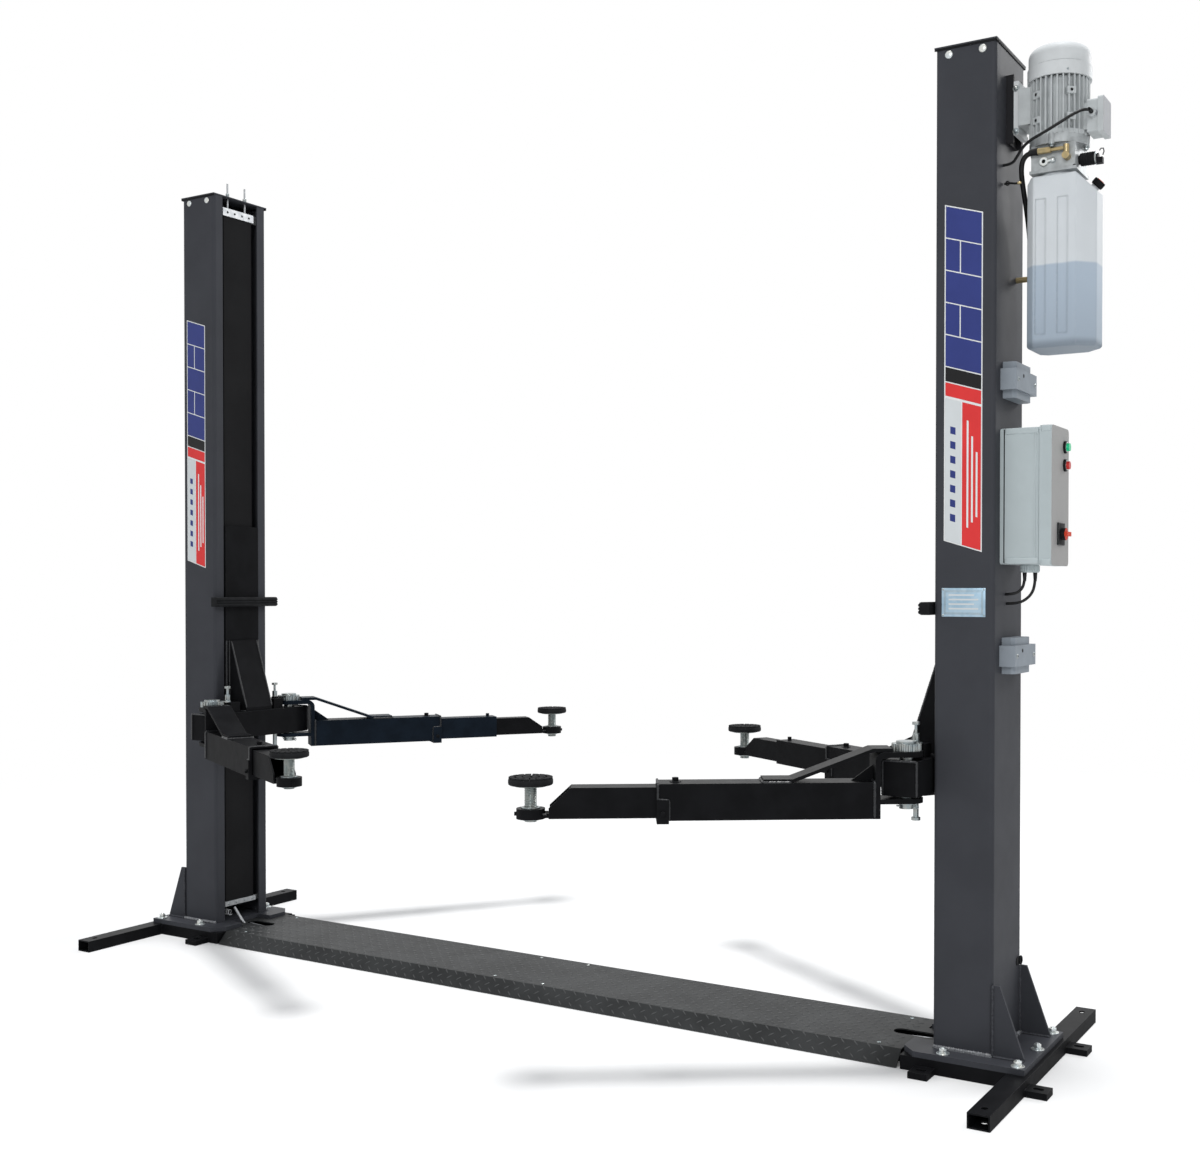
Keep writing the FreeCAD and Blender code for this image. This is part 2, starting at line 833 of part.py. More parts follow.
# Carriages
def carriage(name, sign):
    """Slider tube in the post, cross beam for two arms, gusset and lock blocks, welded in one."""
    front = "carriage_front_x"
    x = side(sign, front, f"{front} + carriage_depth")
    tube = box(name + "Tube", x, ("-carriage_half_width", "carriage_half_width"),
               ("carriage_bottom", "carriage_top"))
    bore = box(name + "Bore",
               side(sign, f"{front} + carriage_wall", f"{front} + carriage_depth - carriage_wall"),
               ("carriage_wall - carriage_half_width", "carriage_half_width - carriage_wall"),
               ("carriage_bottom - overshoot", "carriage_top + overshoot"))
    pieces = [cut(name + "Slider", tube, [bore])]
    beam_x = side(sign, f"{front} - beam_depth", front)
    beam_z = ("carriage_bottom", "carriage_bottom + beam_height")
    beam = box(name + "Beam", beam_x, ("-beam_half_length", "beam_half_length"), beam_z)
    hollow = box(name + "BeamBore", side(sign, f"{front} - beam_depth + beam_wall", f"{front} - beam_wall"),
                 ("beam_wall - beam_half_length", "beam_half_length - beam_wall"),
                 (f"{beam_z[0]} + beam_wall", f"{beam_z[1]} - beam_wall"))
    centre = f"{sign} * ({front} - beam_depth / 2)"
    pieces.append(cut(name + "BeamTube", beam, [hollow]))
    beam_top = "carriage_bottom + beam_height"
    for end_name, end in ENDS.items():
        pieces.append(box(
            f"{name}LockBlock{end_name}",
            (f"{centre} - lock_block_length / 2", f"{centre} + lock_block_length / 2"),
            ("lock_y - lock_block_inner", "lock_y + lock_block_outer") if end > 0
            else ("-lock_y - lock_block_outer", "lock_block_inner - lock_y"),
            (beam_top, f"{beam_top} + lock_block_height")))
        for place, bottom in (("Upper", f"{beam_top} - beam_wall"), ("Lower", "carriage_bottom")):
            pieces.append(cylinder(
                f"{name}Boss{place}{end_name}", "pin_diameter / 2 + beam_wall", "beam_wall",
                centre, f"{end} * pivot_y", bottom))
    points = [
        (front, beam_top), (f"{front} - beam_depth + cheek_plate", beam_top),
        (f"{front} - beam_depth + cheek_plate", f"{beam_top} + cheek_foot_drop"),
        (f"{front} - cheek_plate", "cheek_top"), (front, "cheek_top"),
    ]
    points = [(px if sign > 0 else f"-({px})", pz) for px, pz in points]
    wedge = extruded(name + "Cheeks", "XZ", points, "2 * cheek_half_width", midplane=True)
    space = [
        (f"{front} + overshoot", beam_top), (f"{front} - beam_depth + 2 * cheek_plate", beam_top),
        (f"{front} - beam_depth + 2 * cheek_plate", f"{beam_top} + cheek_foot_drop"),
        (front, "cheek_top"), (f"{front} + overshoot", "cheek_top"),
    ]
    space = [(px if sign > 0 else f"-({px})", pz) for px, pz in space]
    inside = extruded(name + "CheekSpace", "XZ", space, "2 * (cheek_half_width - cheek_plate)",
                      midplane=True)
    pieces.append(cut(name + "Gusset", wedge, [inside]))
    for end_name, end in ENDS.items():
        inner, outer = "carriage_half_width", "post_half_width - post_wall - slide_gap"
        y = (inner, outer) if end > 0 else (f"-({outer})", f"-({inner})")
        for place, bottom in (("Low", "carriage_bottom + beam_height"),
                              ("High", "carriage_top - slide_block_height")):
            pieces.append(box(
                f"{name}Slide{place}{end_name}",
                side(sign, "post_inner_x + post_wall + slide_gap + slide_block_depth / 2",
                     "post_inner_x + post_wall + slide_gap + slide_block_depth * 3 / 2"),
                y, (bottom, f"{bottom} + slide_block_height")))
    holes = []
    for end_name, end in ENDS.items():
        holes.append(cylinder(
            f"{name}PinHole{end_name}", "pin_diameter / 2 + pin_gap", "beam_height + 2 * overshoot",
            centre, f"{end} * pivot_y", "carriage_bottom - overshoot"))
        holes.append(cylinder(
            f"{name}RodHole{end_name}", "lock_rod_diameter / 2 + lock_rod_gap",
            "beam_height + lock_block_height + 2 * overshoot", centre, f"{end} * lock_y",
            "carriage_bottom - overshoot"))
    return cut(name, fuse(name + "Welded", pieces), holes)


for side_name, sign in SIDES.items():
    node(f"carriage_{side_name}", carriage(f"Carriage{side_name}", sign))
    node(f"door_bumper_{side_name}", box(
        f"Bumper{side_name}",
        side(sign, "carriage_front_x - bumper_depth", "carriage_front_x"),
        ("-bumper_half_width", "bumper_half_width"),
        ("bumper_bottom", "bumper_bottom + bumper_height")))


def pivot_pin(name, sign, end):
    """Arm pin with a head plate on top and a clip below."""
    centre = f"{sign} * (carriage_front_x - beam_depth / 2)"
    y = f"{end} * pivot_y"
    head_bottom = "top_tab_bottom + top_tab_thickness + gear_thickness + pin_gap"
    shank = cylinder(name + "Shank", "pin_diameter / 2", f"{head_bottom} - pin_bottom", centre, y,
                     "pin_bottom")
    head = cylinder(name + "Head", "pin_head_diameter / 2", "pin_head_height", centre, y, head_bottom)
    clip = cylinder(name + "Clip", "clip_diameter / 2", "clip_thickness", centre, y,
                    "bottom_tab_bottom - clip_thickness - pin_gap")
    return fuse(name, [shank, head, clip])


for side_name, sign in SIDES.items():
    node(f"pivot_pins_{side_name}", group(
        f"PivotPins{side_name}",
        [pivot_pin(f"Pin{side_name}{n}", sign, e) for n, e in ENDS.items()]))


def lock_rod(name, sign, end):
    """Spring rod that locks an arm: knob, neck and shoulder above its block, foot below."""
    centre = f"{sign} * (carriage_front_x - beam_depth / 2)"
    y = f"{end} * lock_y"
    shoulder_bottom = "carriage_bottom + beam_height + lock_block_height + lock_shoulder_gap"
    shoulder_top = f"{shoulder_bottom} + lock_shoulder_height"
    knob_bottom = "lock_rod_top - lock_knob_height"
    return fuse(name, [
        cylinder(name + "Rod", "lock_rod_diameter / 2", f"{shoulder_bottom} - lock_rod_bottom", centre, y,
                 "lock_rod_bottom"),
        cylinder(name + "Shoulder", "lock_shoulder_diameter / 2", "lock_shoulder_height", centre, y,
                 shoulder_bottom),
        cylinder(name + "Neck", "lock_neck_diameter / 2", f"{knob_bottom} - ({shoulder_top})", centre, y,
                 shoulder_top),
        cylinder(name + "Knob", "lock_knob_diameter / 2", "lock_knob_height", centre, y, knob_bottom),
        cylinder(name + "Foot", "lock_foot_diameter / 2", "lock_foot_height", centre, y,
                 "lock_rod_bottom - lock_foot_height"),
    ])


# Arms are drawn along +X from their pivot and then turned into place
STAGE_ONE = {"side": "0", "bottom": "arm_bottom", "top": "arm_bottom + arm_height", "wall": "arm_wall"}


def next_stage(stage):
    """Section of the tube that slides in another: it rests on the floor of that tube."""
    return {
        "side": f"{stage['side']} + {stage['wall']} + arm_side_gap",
        "bottom": f"{stage['bottom']} + {stage['wall']} + arm_seat_gap",
        "top": f"{stage['top']} - {stage['wall']} - arm_top_gap",
        "wall": "middle_wall",
    }


STAGE_TWO = next_stage(STAGE_ONE)
STAGE_THREE = next_stage(STAGE_TWO)


def arm_tube(name, start, end, stage):
    """Rectangular tube of one arm stage."""
    wall = stage["wall"]
    y = (f"-arm_width / 2 + {stage['side']}", f"arm_width / 2 - ({stage['side']})")
    z = (stage["bottom"], stage["top"])
    outer = box(name + "Outer", (start, end), y, z)
    bore = box(name + "Bore", (f"{start} - overshoot", f"{end} + overshoot"),
               (f"{y[0]} + {wall}", f"{y[1]} - {wall}"), (f"{z[0]} + {wall}", f"{z[1]} - {wall}"))
    return cut(name, outer, [bore])


YOKE_OUTER = "yoke_inner + yoke_thickness"
TAB_TOP = "top_tab_bottom + top_tab_thickness"


def bent(body, name, corner, radius):
    """Round the one bend line along Y that passes over a corner point."""
    doc.recompute()
    for number, edge in enumerate(body.Shape.Edges, start=1):
        bounds = edge.BoundBox
        thin = bounds.XLength < TOLERANCE and bounds.ZLength < TOLERANCE
        if thin and abs(bounds.XMin - corner[0]) < TOLERANCE and abs(bounds.ZMin - corner[1]) < TOLERANCE:
            line = f"Edge{number}"
    straight = body.Tip
    bend = body.newObject("PartDesign::Fillet", name)
    bend.Base = (straight, [line])
    bend.setExpression("Radius", bound(radius))
    body.Tip = bend


def yoke(name):
    """Plate bent over from the top eye down to the foot of the arm."""
    body = extruded(name, "XZ", [
        ("0", "top_tab_bottom"), ("yoke_inner", "top_tab_bottom"), ("yoke_inner", "arm_bottom"),
        (YOKE_OUTER, "arm_bottom"), (YOKE_OUTER, TAB_TOP), ("0", TAB_TOP),
    ], "2 * tab_radius", midplane=True)
    bent(body, name + "OuterBend", (evaluate(YOKE_OUTER), evaluate(TAB_TOP)), "yoke_outer_bend")
    bent(body, name + "InnerBend", (size("yoke_inner"), size("top_tab_bottom")), "yoke_inner_bend")
    return body


def outer_arm(name, tube_end):
    """Yoke round the cross beam, first tube, lugs at its mouth, sloping brace and the web below it."""
    arm_top = "arm_bottom + arm_height"
    tab_z = ("bottom_tab_bottom", "bottom_tab_bottom + bottom_tab_thickness")
    pieces = [
        yoke(name + "Yoke"),
        cylinder(name + "TopEye", "tab_radius", "top_tab_thickness", z="top_tab_bottom"),
        cylinder(name + "BottomEye", "tab_radius", "bottom_tab_thickness", z="bottom_tab_bottom"),
        box(name + "BottomTab", ("0", YOKE_OUTER), ("-tab_radius", "tab_radius"), tab_z),
        arm_tube(name + "Tube", YOKE_OUTER, tube_end, STAGE_ONE),
    ]
    lug_y = "arm_width / 2 + mouth_lug_thickness"
    lugs = box(name + "Lugs", (f"{tube_end} - mouth_lug_length", tube_end), (f"-({lug_y})", lug_y),
               ("arm_bottom - mouth_lug_drop", "arm_bottom + mouth_lug_rise"))
    mouth = box(name + "Mouth", (f"{tube_end} - 2 * mouth_lug_length", f"{tube_end} + overshoot"),
                ("arm_wall - arm_width / 2", "arm_width / 2 - arm_wall"),
                ("arm_bottom + arm_wall", f"{arm_top} - arm_wall"))
    pieces.append(cut(name + "MouthLugs", lugs, [mouth]))
    brace = [
        ("brace_start", TAB_TOP), ("brace_bend", TAB_TOP), ("brace_landing", arm_top),
        ("brace_end", arm_top), ("brace_end", f"{arm_top} + brace_thickness"),
        ("brace_landing", f"{arm_top} + brace_thickness"), ("brace_bend", f"{TAB_TOP} + brace_thickness"),
        ("brace_start", f"{TAB_TOP} + brace_thickness"),
    ]
    pieces.append(extruded(name + "Brace", "XZ", brace, "brace_width", midplane=True))
    web = [
        (YOKE_OUTER, arm_top), (f"{YOKE_OUTER} + yoke_web_reach", arm_top),
        (YOKE_OUTER, f"{arm_top} + yoke_web_height"),
    ]
    pieces.append(extruded(name + "Web", "XZ", web, "yoke_web_thickness", midplane=True))
    hole = cylinder(name + "Hole", "pin_diameter / 2 + pin_gap", "arm_height * 3",
                    z="arm_bottom - arm_height")
    return cut(name, fuse(name + "Welded", pieces), [hole])


def middle_arm(name, end):
    """Second stage of a rear arm with its stop knob."""
    tube = arm_tube(name + "Tube", f"{end} - rear_middle_length", end, STAGE_TWO)
    knob = cylinder(name + "Knob", "stop_knob_diameter / 2", "stop_knob_height",
                    f"{end} - stop_knob_inset", "0", STAGE_TWO["top"])
    return fuse(name, [tube, knob])


def inner_arm(name, stage, length, reach):
    """Last stage with its slanted nose and the ring that carries the pad screw."""
    tip = f"{reach} - nose_setback"
    start = f"{tip} - {length}"
    tube = arm_tube(name + "Tube", start, tip, stage)
    bottom = stage["bottom"]
    top = stage["top"]
    nose = extruded(name + "Nose", "XZ", [
        (f"{tip} - nose_slant", f"{top} + overshoot"), (f"{tip} + overshoot", f"{bottom} + ring_height"),
        (f"{tip} + overshoot", f"{top} + overshoot"),
    ], "arm_width", midplane=True)
    cut_tube = cut(name + "CutTube", tube, [nose])
    ring_z = f"{bottom} - ring_drop"
    ring = cylinder(name + "Ring", "ring_outer_diameter / 2", "ring_height", reach, "0", ring_z)
    neck = box(name + "Neck", (f"{tip} - nose_slant", reach),
               ("-ring_outer_diameter / 4", "ring_outer_diameter / 4"),
               (bottom, f"{bottom} + middle_wall + neck_lift"))
    hole = cylinder(name + "Hole", "screw_diameter / 2 + screw_gap", "ring_height * 3", reach, "0",
                    f"{ring_z} - ring_height")
    return cut(name, fuse(name + "Welded", [cut_tube, ring, neck]), [hole])


def gear_plate(name):
    """Toothed plate on top of the yoke."""
    body = new_body(name)
    sketch = new_sketch(body, "XY", TAB_TOP)
    circle(sketch, "0", "0", "gear_root_radius")
    circle(sketch, "0", "0", "pin_diameter / 2 + pin_gap")
    pad(body, sketch, "gear_thickness")
    tooth_line = new_sketch(body, "XY", TAB_TOP)
    outline(tooth_line, [
        ("gear_root_radius - gear_tooth_sink", "-gear_tooth_root / 2"),
        ("gear_tip_radius", "-gear_tooth_tip / 2"),
        ("gear_tip_radius", "gear_tooth_tip / 2"),
        ("gear_root_radius - gear_tooth_sink", "gear_tooth_root / 2"),
    ])
    tooth = pad(body, tooth_line, "gear_thickness")
    doc.recompute()
    polar(body, tooth, "gear_teeth")
    return body


def pad_screw(name):
    """Screw with the plate that carries the rubber."""
    stem = cylinder(name + "Stem", "screw_diameter / 2",
                    "pad_bottom - screw_plate_thickness - screw_bottom", z="screw_bottom")
    plate = cylinder(name + "Plate", "screw_plate_diameter / 2", "screw_plate_thickness",
                     z="pad_bottom - screw_plate_thickness")
    return fuse(name, [stem, plate])


ARMS = {
    "front_left": (-1, -1),
    "front_right": (1, -1),
    "rear_left": (-1, 1),
    "rear_right": (1, 1),
}


def arm_heading(key, sign, end):
    """Direction of an arm in degrees from +X."""
    swing = size(f"swing_{key}")
    inward = 180 if sign > 0 else 0
    return inward + sign * -end * swing if sign > 0 else end * swing


def place_arm(item, key, sign, end, reach="0"):
    """Turn and move an arm piece to its pivot."""
    heading = arm_heading(key, sign, end)
    turn = FreeCAD.Rotation(UP, heading)
    pivot_x = sign * (size("carriage_front_x") - size("beam_depth") / 2)
    pivot = FreeCAD.Vector(pivot_x, end * size("pivot_y"), 0)
    offset = turn.multVec(FreeCAD.Vector(evaluate(reach), 0, 0))
    item.Placement = FreeCAD.Placement(pivot + offset, turn)
    return item


for key, (sign, end) in ARMS.items():
    title = key.title().replace("_", "")
    rear = end > 0
    reach = f"reach_{key}"
    node(f"lock_rod_{key}", lock_rod(f"Lock{title}", sign, end))
    outer_end = "rear_outer_end" if rear else "front_outer_end"
    node(f"arm_outer_{key}", place_arm(outer_arm(f"Outer{title}", outer_end), key, sign, end))
    node(f"arm_gear_{key}", place_arm(gear_plate(f"Gear{title}"), key, sign, end))
    if rear:
        middle = middle_arm(f"Middle{title}", f"middle_end_{key}")
        node(f"arm_middle_{key}", place_arm(middle, key, sign, end))
    stage = STAGE_THREE if rear else STAGE_TWO
    length = "rear_inner_length" if rear else "front_inner_length"
    node(f"arm_inner_{key}", place_arm(inner_arm(f"Inner{title}", stage, length, reach), key, sign, end))
    node(f"pad_screw_{key}", place_arm(pad_screw(f"Screw{title}"), key, sign, end, reach))
    rubber = cylinder(f"Rubber{title}", "pad_diameter / 2", "pad_height", z="pad_bottom")
    rubber.setExpression(".Placement.Base.x", None)
    rubber.setExpression(".Placement.Base.y", None)
    rubber.setExpression(".Placement.Base.z", None)
    pad_piece = group(f"Pad{title}", [at(rubber, z="pad_bottom")])
    node(f"lift_pad_{key}", place_arm(pad_piece, key, sign, end, reach))


# Covers over the safety lock mechanisms
def chamfered_housing(name, sign, half, depth, z):
    """Upright housing on the outer post face, its two far corners cut."""
    face = "post_inner_x + post_depth"
    points = [
        (face, f"lock_cover_y - {half}"),
        (f"{face} + {depth} - lock_cover_chamfer", f"lock_cover_y - {half}"),
        (f"{face} + {depth}", f"lock_cover_y - {half} + lock_cover_chamfer"),
        (f"{face} + {depth}", f"lock_cover_y + {half} - lock_cover_chamfer"),
        (f"{face} + {depth} - lock_cover_chamfer", f"lock_cover_y + {half}"),
        (face, f"lock_cover_y + {half}"),
    ]
    points = [(x if sign > 0 else f"-({x})", y) for x, y in points]
    return extruded(name, "XY", points, f"({z[1]}) - ({z[0]})", z[0])


def lock_cover(name, sign, middle):
    """Moulded cover: a tall housing with a wider, deeper band across its middle."""
    face = "post_inner_x + post_depth"
    housing_z = (f"{middle} - lock_housing_height / 2", f"{middle} + lock_housing_height / 2")
    band_z = (f"{middle} - lock_band_height / 2", f"{middle} + lock_band_height / 2")
    housing = chamfered_housing(name + "Housing", sign, "lock_housing_half", "lock_housing_depth", housing_z)
    band = box(name + "Band", side(sign, face, f"{face} + lock_band_depth"),
               ("lock_cover_y - lock_band_half", "lock_cover_y + lock_band_half"), band_z)
    space = box(name + "Space",
                side(sign, f"{face} - overshoot", f"{face} + lock_housing_depth - lock_cover_wall"),
                ("lock_cover_y - lock_housing_half + lock_cover_chamfer",
                 "lock_cover_y + lock_housing_half - lock_cover_chamfer"),
                (f"{housing_z[0]} + lock_cover_wall", f"{housing_z[1]} - lock_cover_wall"))
    return cut(name, fuse(name + "Moulding", [housing, band]), [space])


covers = []
for side_name, sign in SIDES.items():
    covers.append(lock_cover(f"UpperLock{side_name}", sign, "upper_lock_z"))
    covers.append(lock_cover(f"LowerLock{side_name}", sign, "lower_lock_z"))
node("lock_covers", group("LockCovers", covers))

# Control box on the outer face of the right post
def rounded(name, x, y, z, radius):
    """Moulded housing whose edges along X are rounded."""
    body = new_body(name)
    sketch = new_sketch(body, "YZ", x[0])
    outline(sketch, [(y[0], z[0]), (y[1], z[0]), (y[1], z[1]), (y[0], z[1])])
    pad(body, sketch, f"({x[1]}) - ({x[0]})")
    doc.recompute()
    edges = []
    for number, edge in enumerate(body.Shape.Edges, start=1):
        if edge.BoundBox.YLength < TOLERANCE and edge.BoundBox.ZLength < TOLERANCE:
            edges.append(f"Edge{number}")
    housing = body.Tip
    fillet = body.newObject("PartDesign::Fillet", name + "Round")
    fillet.Base = (housing, edges)
    fillet.setExpression("Radius", bound(radius))
    body.Tip = fillet
    return body


post_face = "post_inner_x + post_depth"
lid_start = f"{post_face} + box_base_depth"
lid_face = f"{lid_start} + box_lid_depth"
shell = rounded("BoxShell", (post_face, lid_start), ("-box_half_width", "box_half_width"),
                ("box_bottom", "box_bottom + box_height"), "box_round")
hollow = box("BoxHollow", (f"{post_face} + box_wall", f"{lid_start} + overshoot"),
             ("box_wall - box_half_width", "box_half_width - box_wall"),
             ("box_bottom + box_wall", "box_bottom + box_height - box_wall"))
gland = cylinder("BoxGland", "gland_diameter / 2", "gland_length", f"{post_face} + gland_inset_x", "gland_y",
                 "box_bottom - gland_length")
node("control_box", fuse("ControlBox", [cut("BoxBase", shell, [hollow]), gland]))
lid_shell = rounded("LidShell", (lid_start, lid_face),
                    ("-box_half_width - lid_rim", "box_half_width + lid_rim"),
                    ("box_bottom - lid_rim", "box_bottom + box_height + lid_rim"), "box_round + lid_rim")
lid_hollow = box("LidHollow", (f"{lid_start} - overshoot", f"{lid_face} - box_wall"),
                 ("box_wall - box_half_width", "box_half_width - box_wall"),
                 ("box_bottom + box_wall", "box_bottom + box_height - box_wall"))
lid_bores = []
lid_parts = [cut("LidCover", lid_shell, [lid_hollow])]
for level in ("up_button_z", "down_button_z"):
    lid_parts.append(turned(cylinder(
        f"Bezel{level}", "bezel_diameter / 2", "bezel_depth", lid_face, "button_y", level), ALONG_Y, 90))
    lid_bores.append(turned(cylinder(
        f"Bore{level}", "button_diameter / 2 + button_gap", "box_lid_depth + 2 * bezel_depth", lid_start,
        "button_y", level), ALONG_Y, 90))
lid_parts.append(box("SwitchPlate", (lid_face, f"{lid_face} + switch_plate_depth"),
                     ("-switch_plate_half", "switch_plate_half"),
                     ("switch_z - switch_plate_half", "switch_z + switch_plate_half")))
node("control_lid", cut("ControlLid", fuse("LidWithBezels", lid_parts), lid_bores))


def push_button(name, level):
    """Button in its bore, standing out of the bezel."""
    return turned(cylinder(name, "button_diameter / 2", "box_wall + bezel_depth + button_stand",
                           f"{lid_face} - box_wall", "button_y", level), ALONG_Y, 90)


node("up_button", push_button("UpButton", "up_button_z"))
node("down_button", push_button("DownButton", "down_button_z"))
switch_face = f"{lid_face} + switch_plate_depth + button_gap"
switch_hub = turned(cylinder("SwitchHub", "switch_hub_diameter / 2", "switch_hub_depth", switch_face, "0",
                             "switch_z"), ALONG_Y, 90)
switch_grip = box("SwitchGrip", (f"{switch_face} + switch_hub_depth", f"{switch_face} + switch_grip_depth"),
                  ("-switch_grip_length / 2", "switch_grip_length / 2"),
                  ("switch_z - switch_grip_width / 2", "switch_z + switch_grip_width / 2"))
node("isolator_switch", fuse("IsolatorSwitch", [switch_hub, switch_grip]))

# Power unit: motor over pump over tank, held by an angle bracket on the post
axis_x = "unit_axis_x"
bracket_out = f"{post_face} + bracket_leg"
bracket_span = ("-bracket_half", "bracket_half")
bracket_z = ("bracket_bottom", "bracket_bottom + bracket_height")
bracket = fuse("Bracket", [
    box("BracketBack", (post_face, f"{post_face} + bracket_plate"), bracket_span, bracket_z),
    box("BracketNearWeb", (post_face, bracket_out), ("-bracket_half", "bracket_plate - bracket_half"),
        bracket_z),
    box("BracketFarWeb", (post_face, bracket_out), ("bracket_half - bracket_plate", "bracket_half"),
        bracket_z),
    box("MountPlate", (bracket_out, f"{bracket_out} + mount_plate_thickness"), bracket_span,
        (f"{bracket_z[0]} + mount_plate_inset", f"{bracket_z[1]} - mount_plate_inset")),
])
node("motor_bracket", bracket)


def turned_rectangle(sketch, reach, half, angle):
    """Draw a rectangle that points away from the origin at an angle in degrees."""
    corners = [(reach[0], f"-({half})"), (reach[1], f"-({half})"), (reach[1], half), (reach[0], half)]
    outline(sketch, [
        (f"({along}) * cos({angle}) - ({across}) * sin({angle})",
         f"({along}) * sin({angle}) + ({across}) * cos({angle})")
        for along, across in corners
    ])


def motor_housing():
    """Cast housing with fins all round, a bottom flange, a foot, eight bosses and a terminal seat."""
    body = new_body("MotorHousing")
    core = new_sketch(body, "XY")
    circle(core, "0", "0", "motor_body_radius")
    pad(body, core, "motor_height")
    fin_line = new_sketch(body, "XY")
    rectangle(fin_line, ("motor_body_radius - fin_sink", "fin_tip_radius"),
              ("-fin_thickness / 2", "fin_thickness / 2"))
    fin = pad(body, fin_line, "motor_height")
    doc.recompute()
    polar(body, fin, "fin_count")
    flange = new_sketch(body, "XY")
    circle(flange, "0", "0", "motor_flange_radius")
    pad(body, flange, "motor_flange_thickness")
    foot = new_sketch(body, "XY", "motor_foot_lift")
    rectangle(foot, (f"{bracket_out} + mount_plate_thickness - {axis_x}", "fin_sink - motor_body_radius"),
              ("-motor_foot_half", "motor_foot_half"))
    pad(body, foot, "motor_foot_height")
    for row in range(2):
        bosses = new_sketch(body, "XY", f"boss_low + {row} * boss_pitch")
        for angle in ("boss_near_angle", "boss_far_angle"):
            for facing in ("-", "+"):
                turned_rectangle(bosses, ("motor_body_radius", "fin_tip_radius + boss_stand"),
                                 "boss_width / 2", f"{facing}{angle}")
        pad(body, bosses, "boss_height")
    seat = new_sketch(body, "XY", "terminal_seat_inset")
    rectangle(seat, ("motor_body_radius - fin_sink", "fin_tip_radius + terminal_stand"),
              ("terminal_seat_inset - terminal_half", "terminal_half - terminal_seat_inset"))
    pad(body, seat, "terminal_height + terminal_bottom - motor_bottom - 2 * terminal_seat_inset")
    return at(body, axis_x, "0", "motor_bottom")


node("motor_housing", motor_housing())


def fan_cowl():
    """Pressed cowl: stepped skirt, domed crown, a ring of vents on top."""
    body = new_body("FanCowl")
    crown = new_sketch(body, "XY")
    circle(crown, "0", "0", "cowl_radius - cowl_step")
    pad(body, crown, "cowl_height")
    doc.recompute()
    top_edge = []
    for number, edge in enumerate(body.Shape.Edges, start=1):
        if abs(edge.BoundBox.ZMin - size("cowl_height")) < 1e-3:
            top_edge.append(f"Edge{number}")
    drum = body.Tip
    dome = body.newObject("PartDesign::Fillet", "CowlDome")
    dome.Base = (drum, top_edge)
    dome.setExpression("Radius", bound("cowl_dome"))
    body.Tip = dome
    skirt = new_sketch(body, "XY")
    circle(skirt, "0", "0", "cowl_radius")
    pad(body, skirt, "cowl_skirt")
    inside = new_sketch(body, "XY")
    circle(inside, "0", "0", "cowl_radius - cowl_step - cowl_wall")
    pocket(body, inside, "cowl_height - cowl_dome", backwards=True)
    roof = new_sketch(body, "XY")
    circle(roof, "0", "0", "cowl_radius - cowl_step - cowl_wall - cowl_dome / 2")
    pocket(body, roof, "cowl_height - cowl_wall", backwards=True)
    vent_line = new_sketch(body, "XY")
    rectangle(vent_line, ("vent_inner", "vent_outer"), ("-vent_width / 2", "vent_width / 2"))
    vent = pocket(body, vent_line, "cowl_height + cowl_wall", backwards=True)
    doc.recompute()
    polar(body, vent, "vent_count")
    return at(body, axis_x, "0", "motor_bottom + motor_height")


node("fan_cowl", fan_cowl())

terminal_inner = f"{axis_x} + fin_tip_radius + terminal_stand"
terminal_lid_start = f"{terminal_inner} + terminal_depth - terminal_lid"
terminal_y = ("-terminal_half", "terminal_half")
terminal_z = ("terminal_bottom", "terminal_bottom + terminal_height")
node("terminal_box", fuse("TerminalBox", [
    rounded("TerminalBase", (terminal_inner, terminal_lid_start),
            ("terminal_rim - terminal_half", "terminal_half - terminal_rim"),
            ("terminal_bottom + terminal_rim", "terminal_bottom + terminal_height - terminal_rim"),
            "terminal_round"),
    rounded("TerminalLid", (terminal_lid_start, f"{terminal_inner} + terminal_depth"), terminal_y,
            terminal_z, "terminal_round"),
    turned(cylinder("TerminalGland", "motor_gland_diameter / 2", "motor_gland_length",
                    f"{terminal_inner} + motor_gland_inset", "terminal_rim - terminal_half",
                    "terminal_bottom + motor_gland_rise"), ALONG_X, 90),
]))

foot_half = "pump_block_half + pump_foot_rim"
block_top = "pump_body_bottom + pump_block_height"
pump_pieces = [
    box("PumpFoot", (f"{axis_x} - ({foot_half})", f"{axis_x} + {foot_half}"),
        (f"-({foot_half})", foot_half), ("pump_bottom", "pump_body_bottom")),
    box("PumpBody", (f"{axis_x} - pump_block_half", f"{axis_x} + pump_block_half"),
        ("-pump_block_half", "pump_block_half"), ("pump_body_bottom", block_top)),
    cylinder("PumpBell", "pump_bell_radius", "pump_bell_height", axis_x, "0", block_top),
]
for number in range(int(size("bell_boss_count"))):
    angle = f"{number} * 360 / bell_boss_count"
    pump_pieces.append(cylinder(
        f"BellBoss{number}", "bell_boss_radius", "pump_bell_height + bell_boss_drop",
        f"{axis_x} + bell_boss_circle * cos({angle})", f"bell_boss_circle * sin({angle})",
        f"{block_top} - bell_boss_drop"))
node("pump_block", fuse("PumpBlock", pump_pieces))

tank_outer = "tank_inner_x + tank_length"


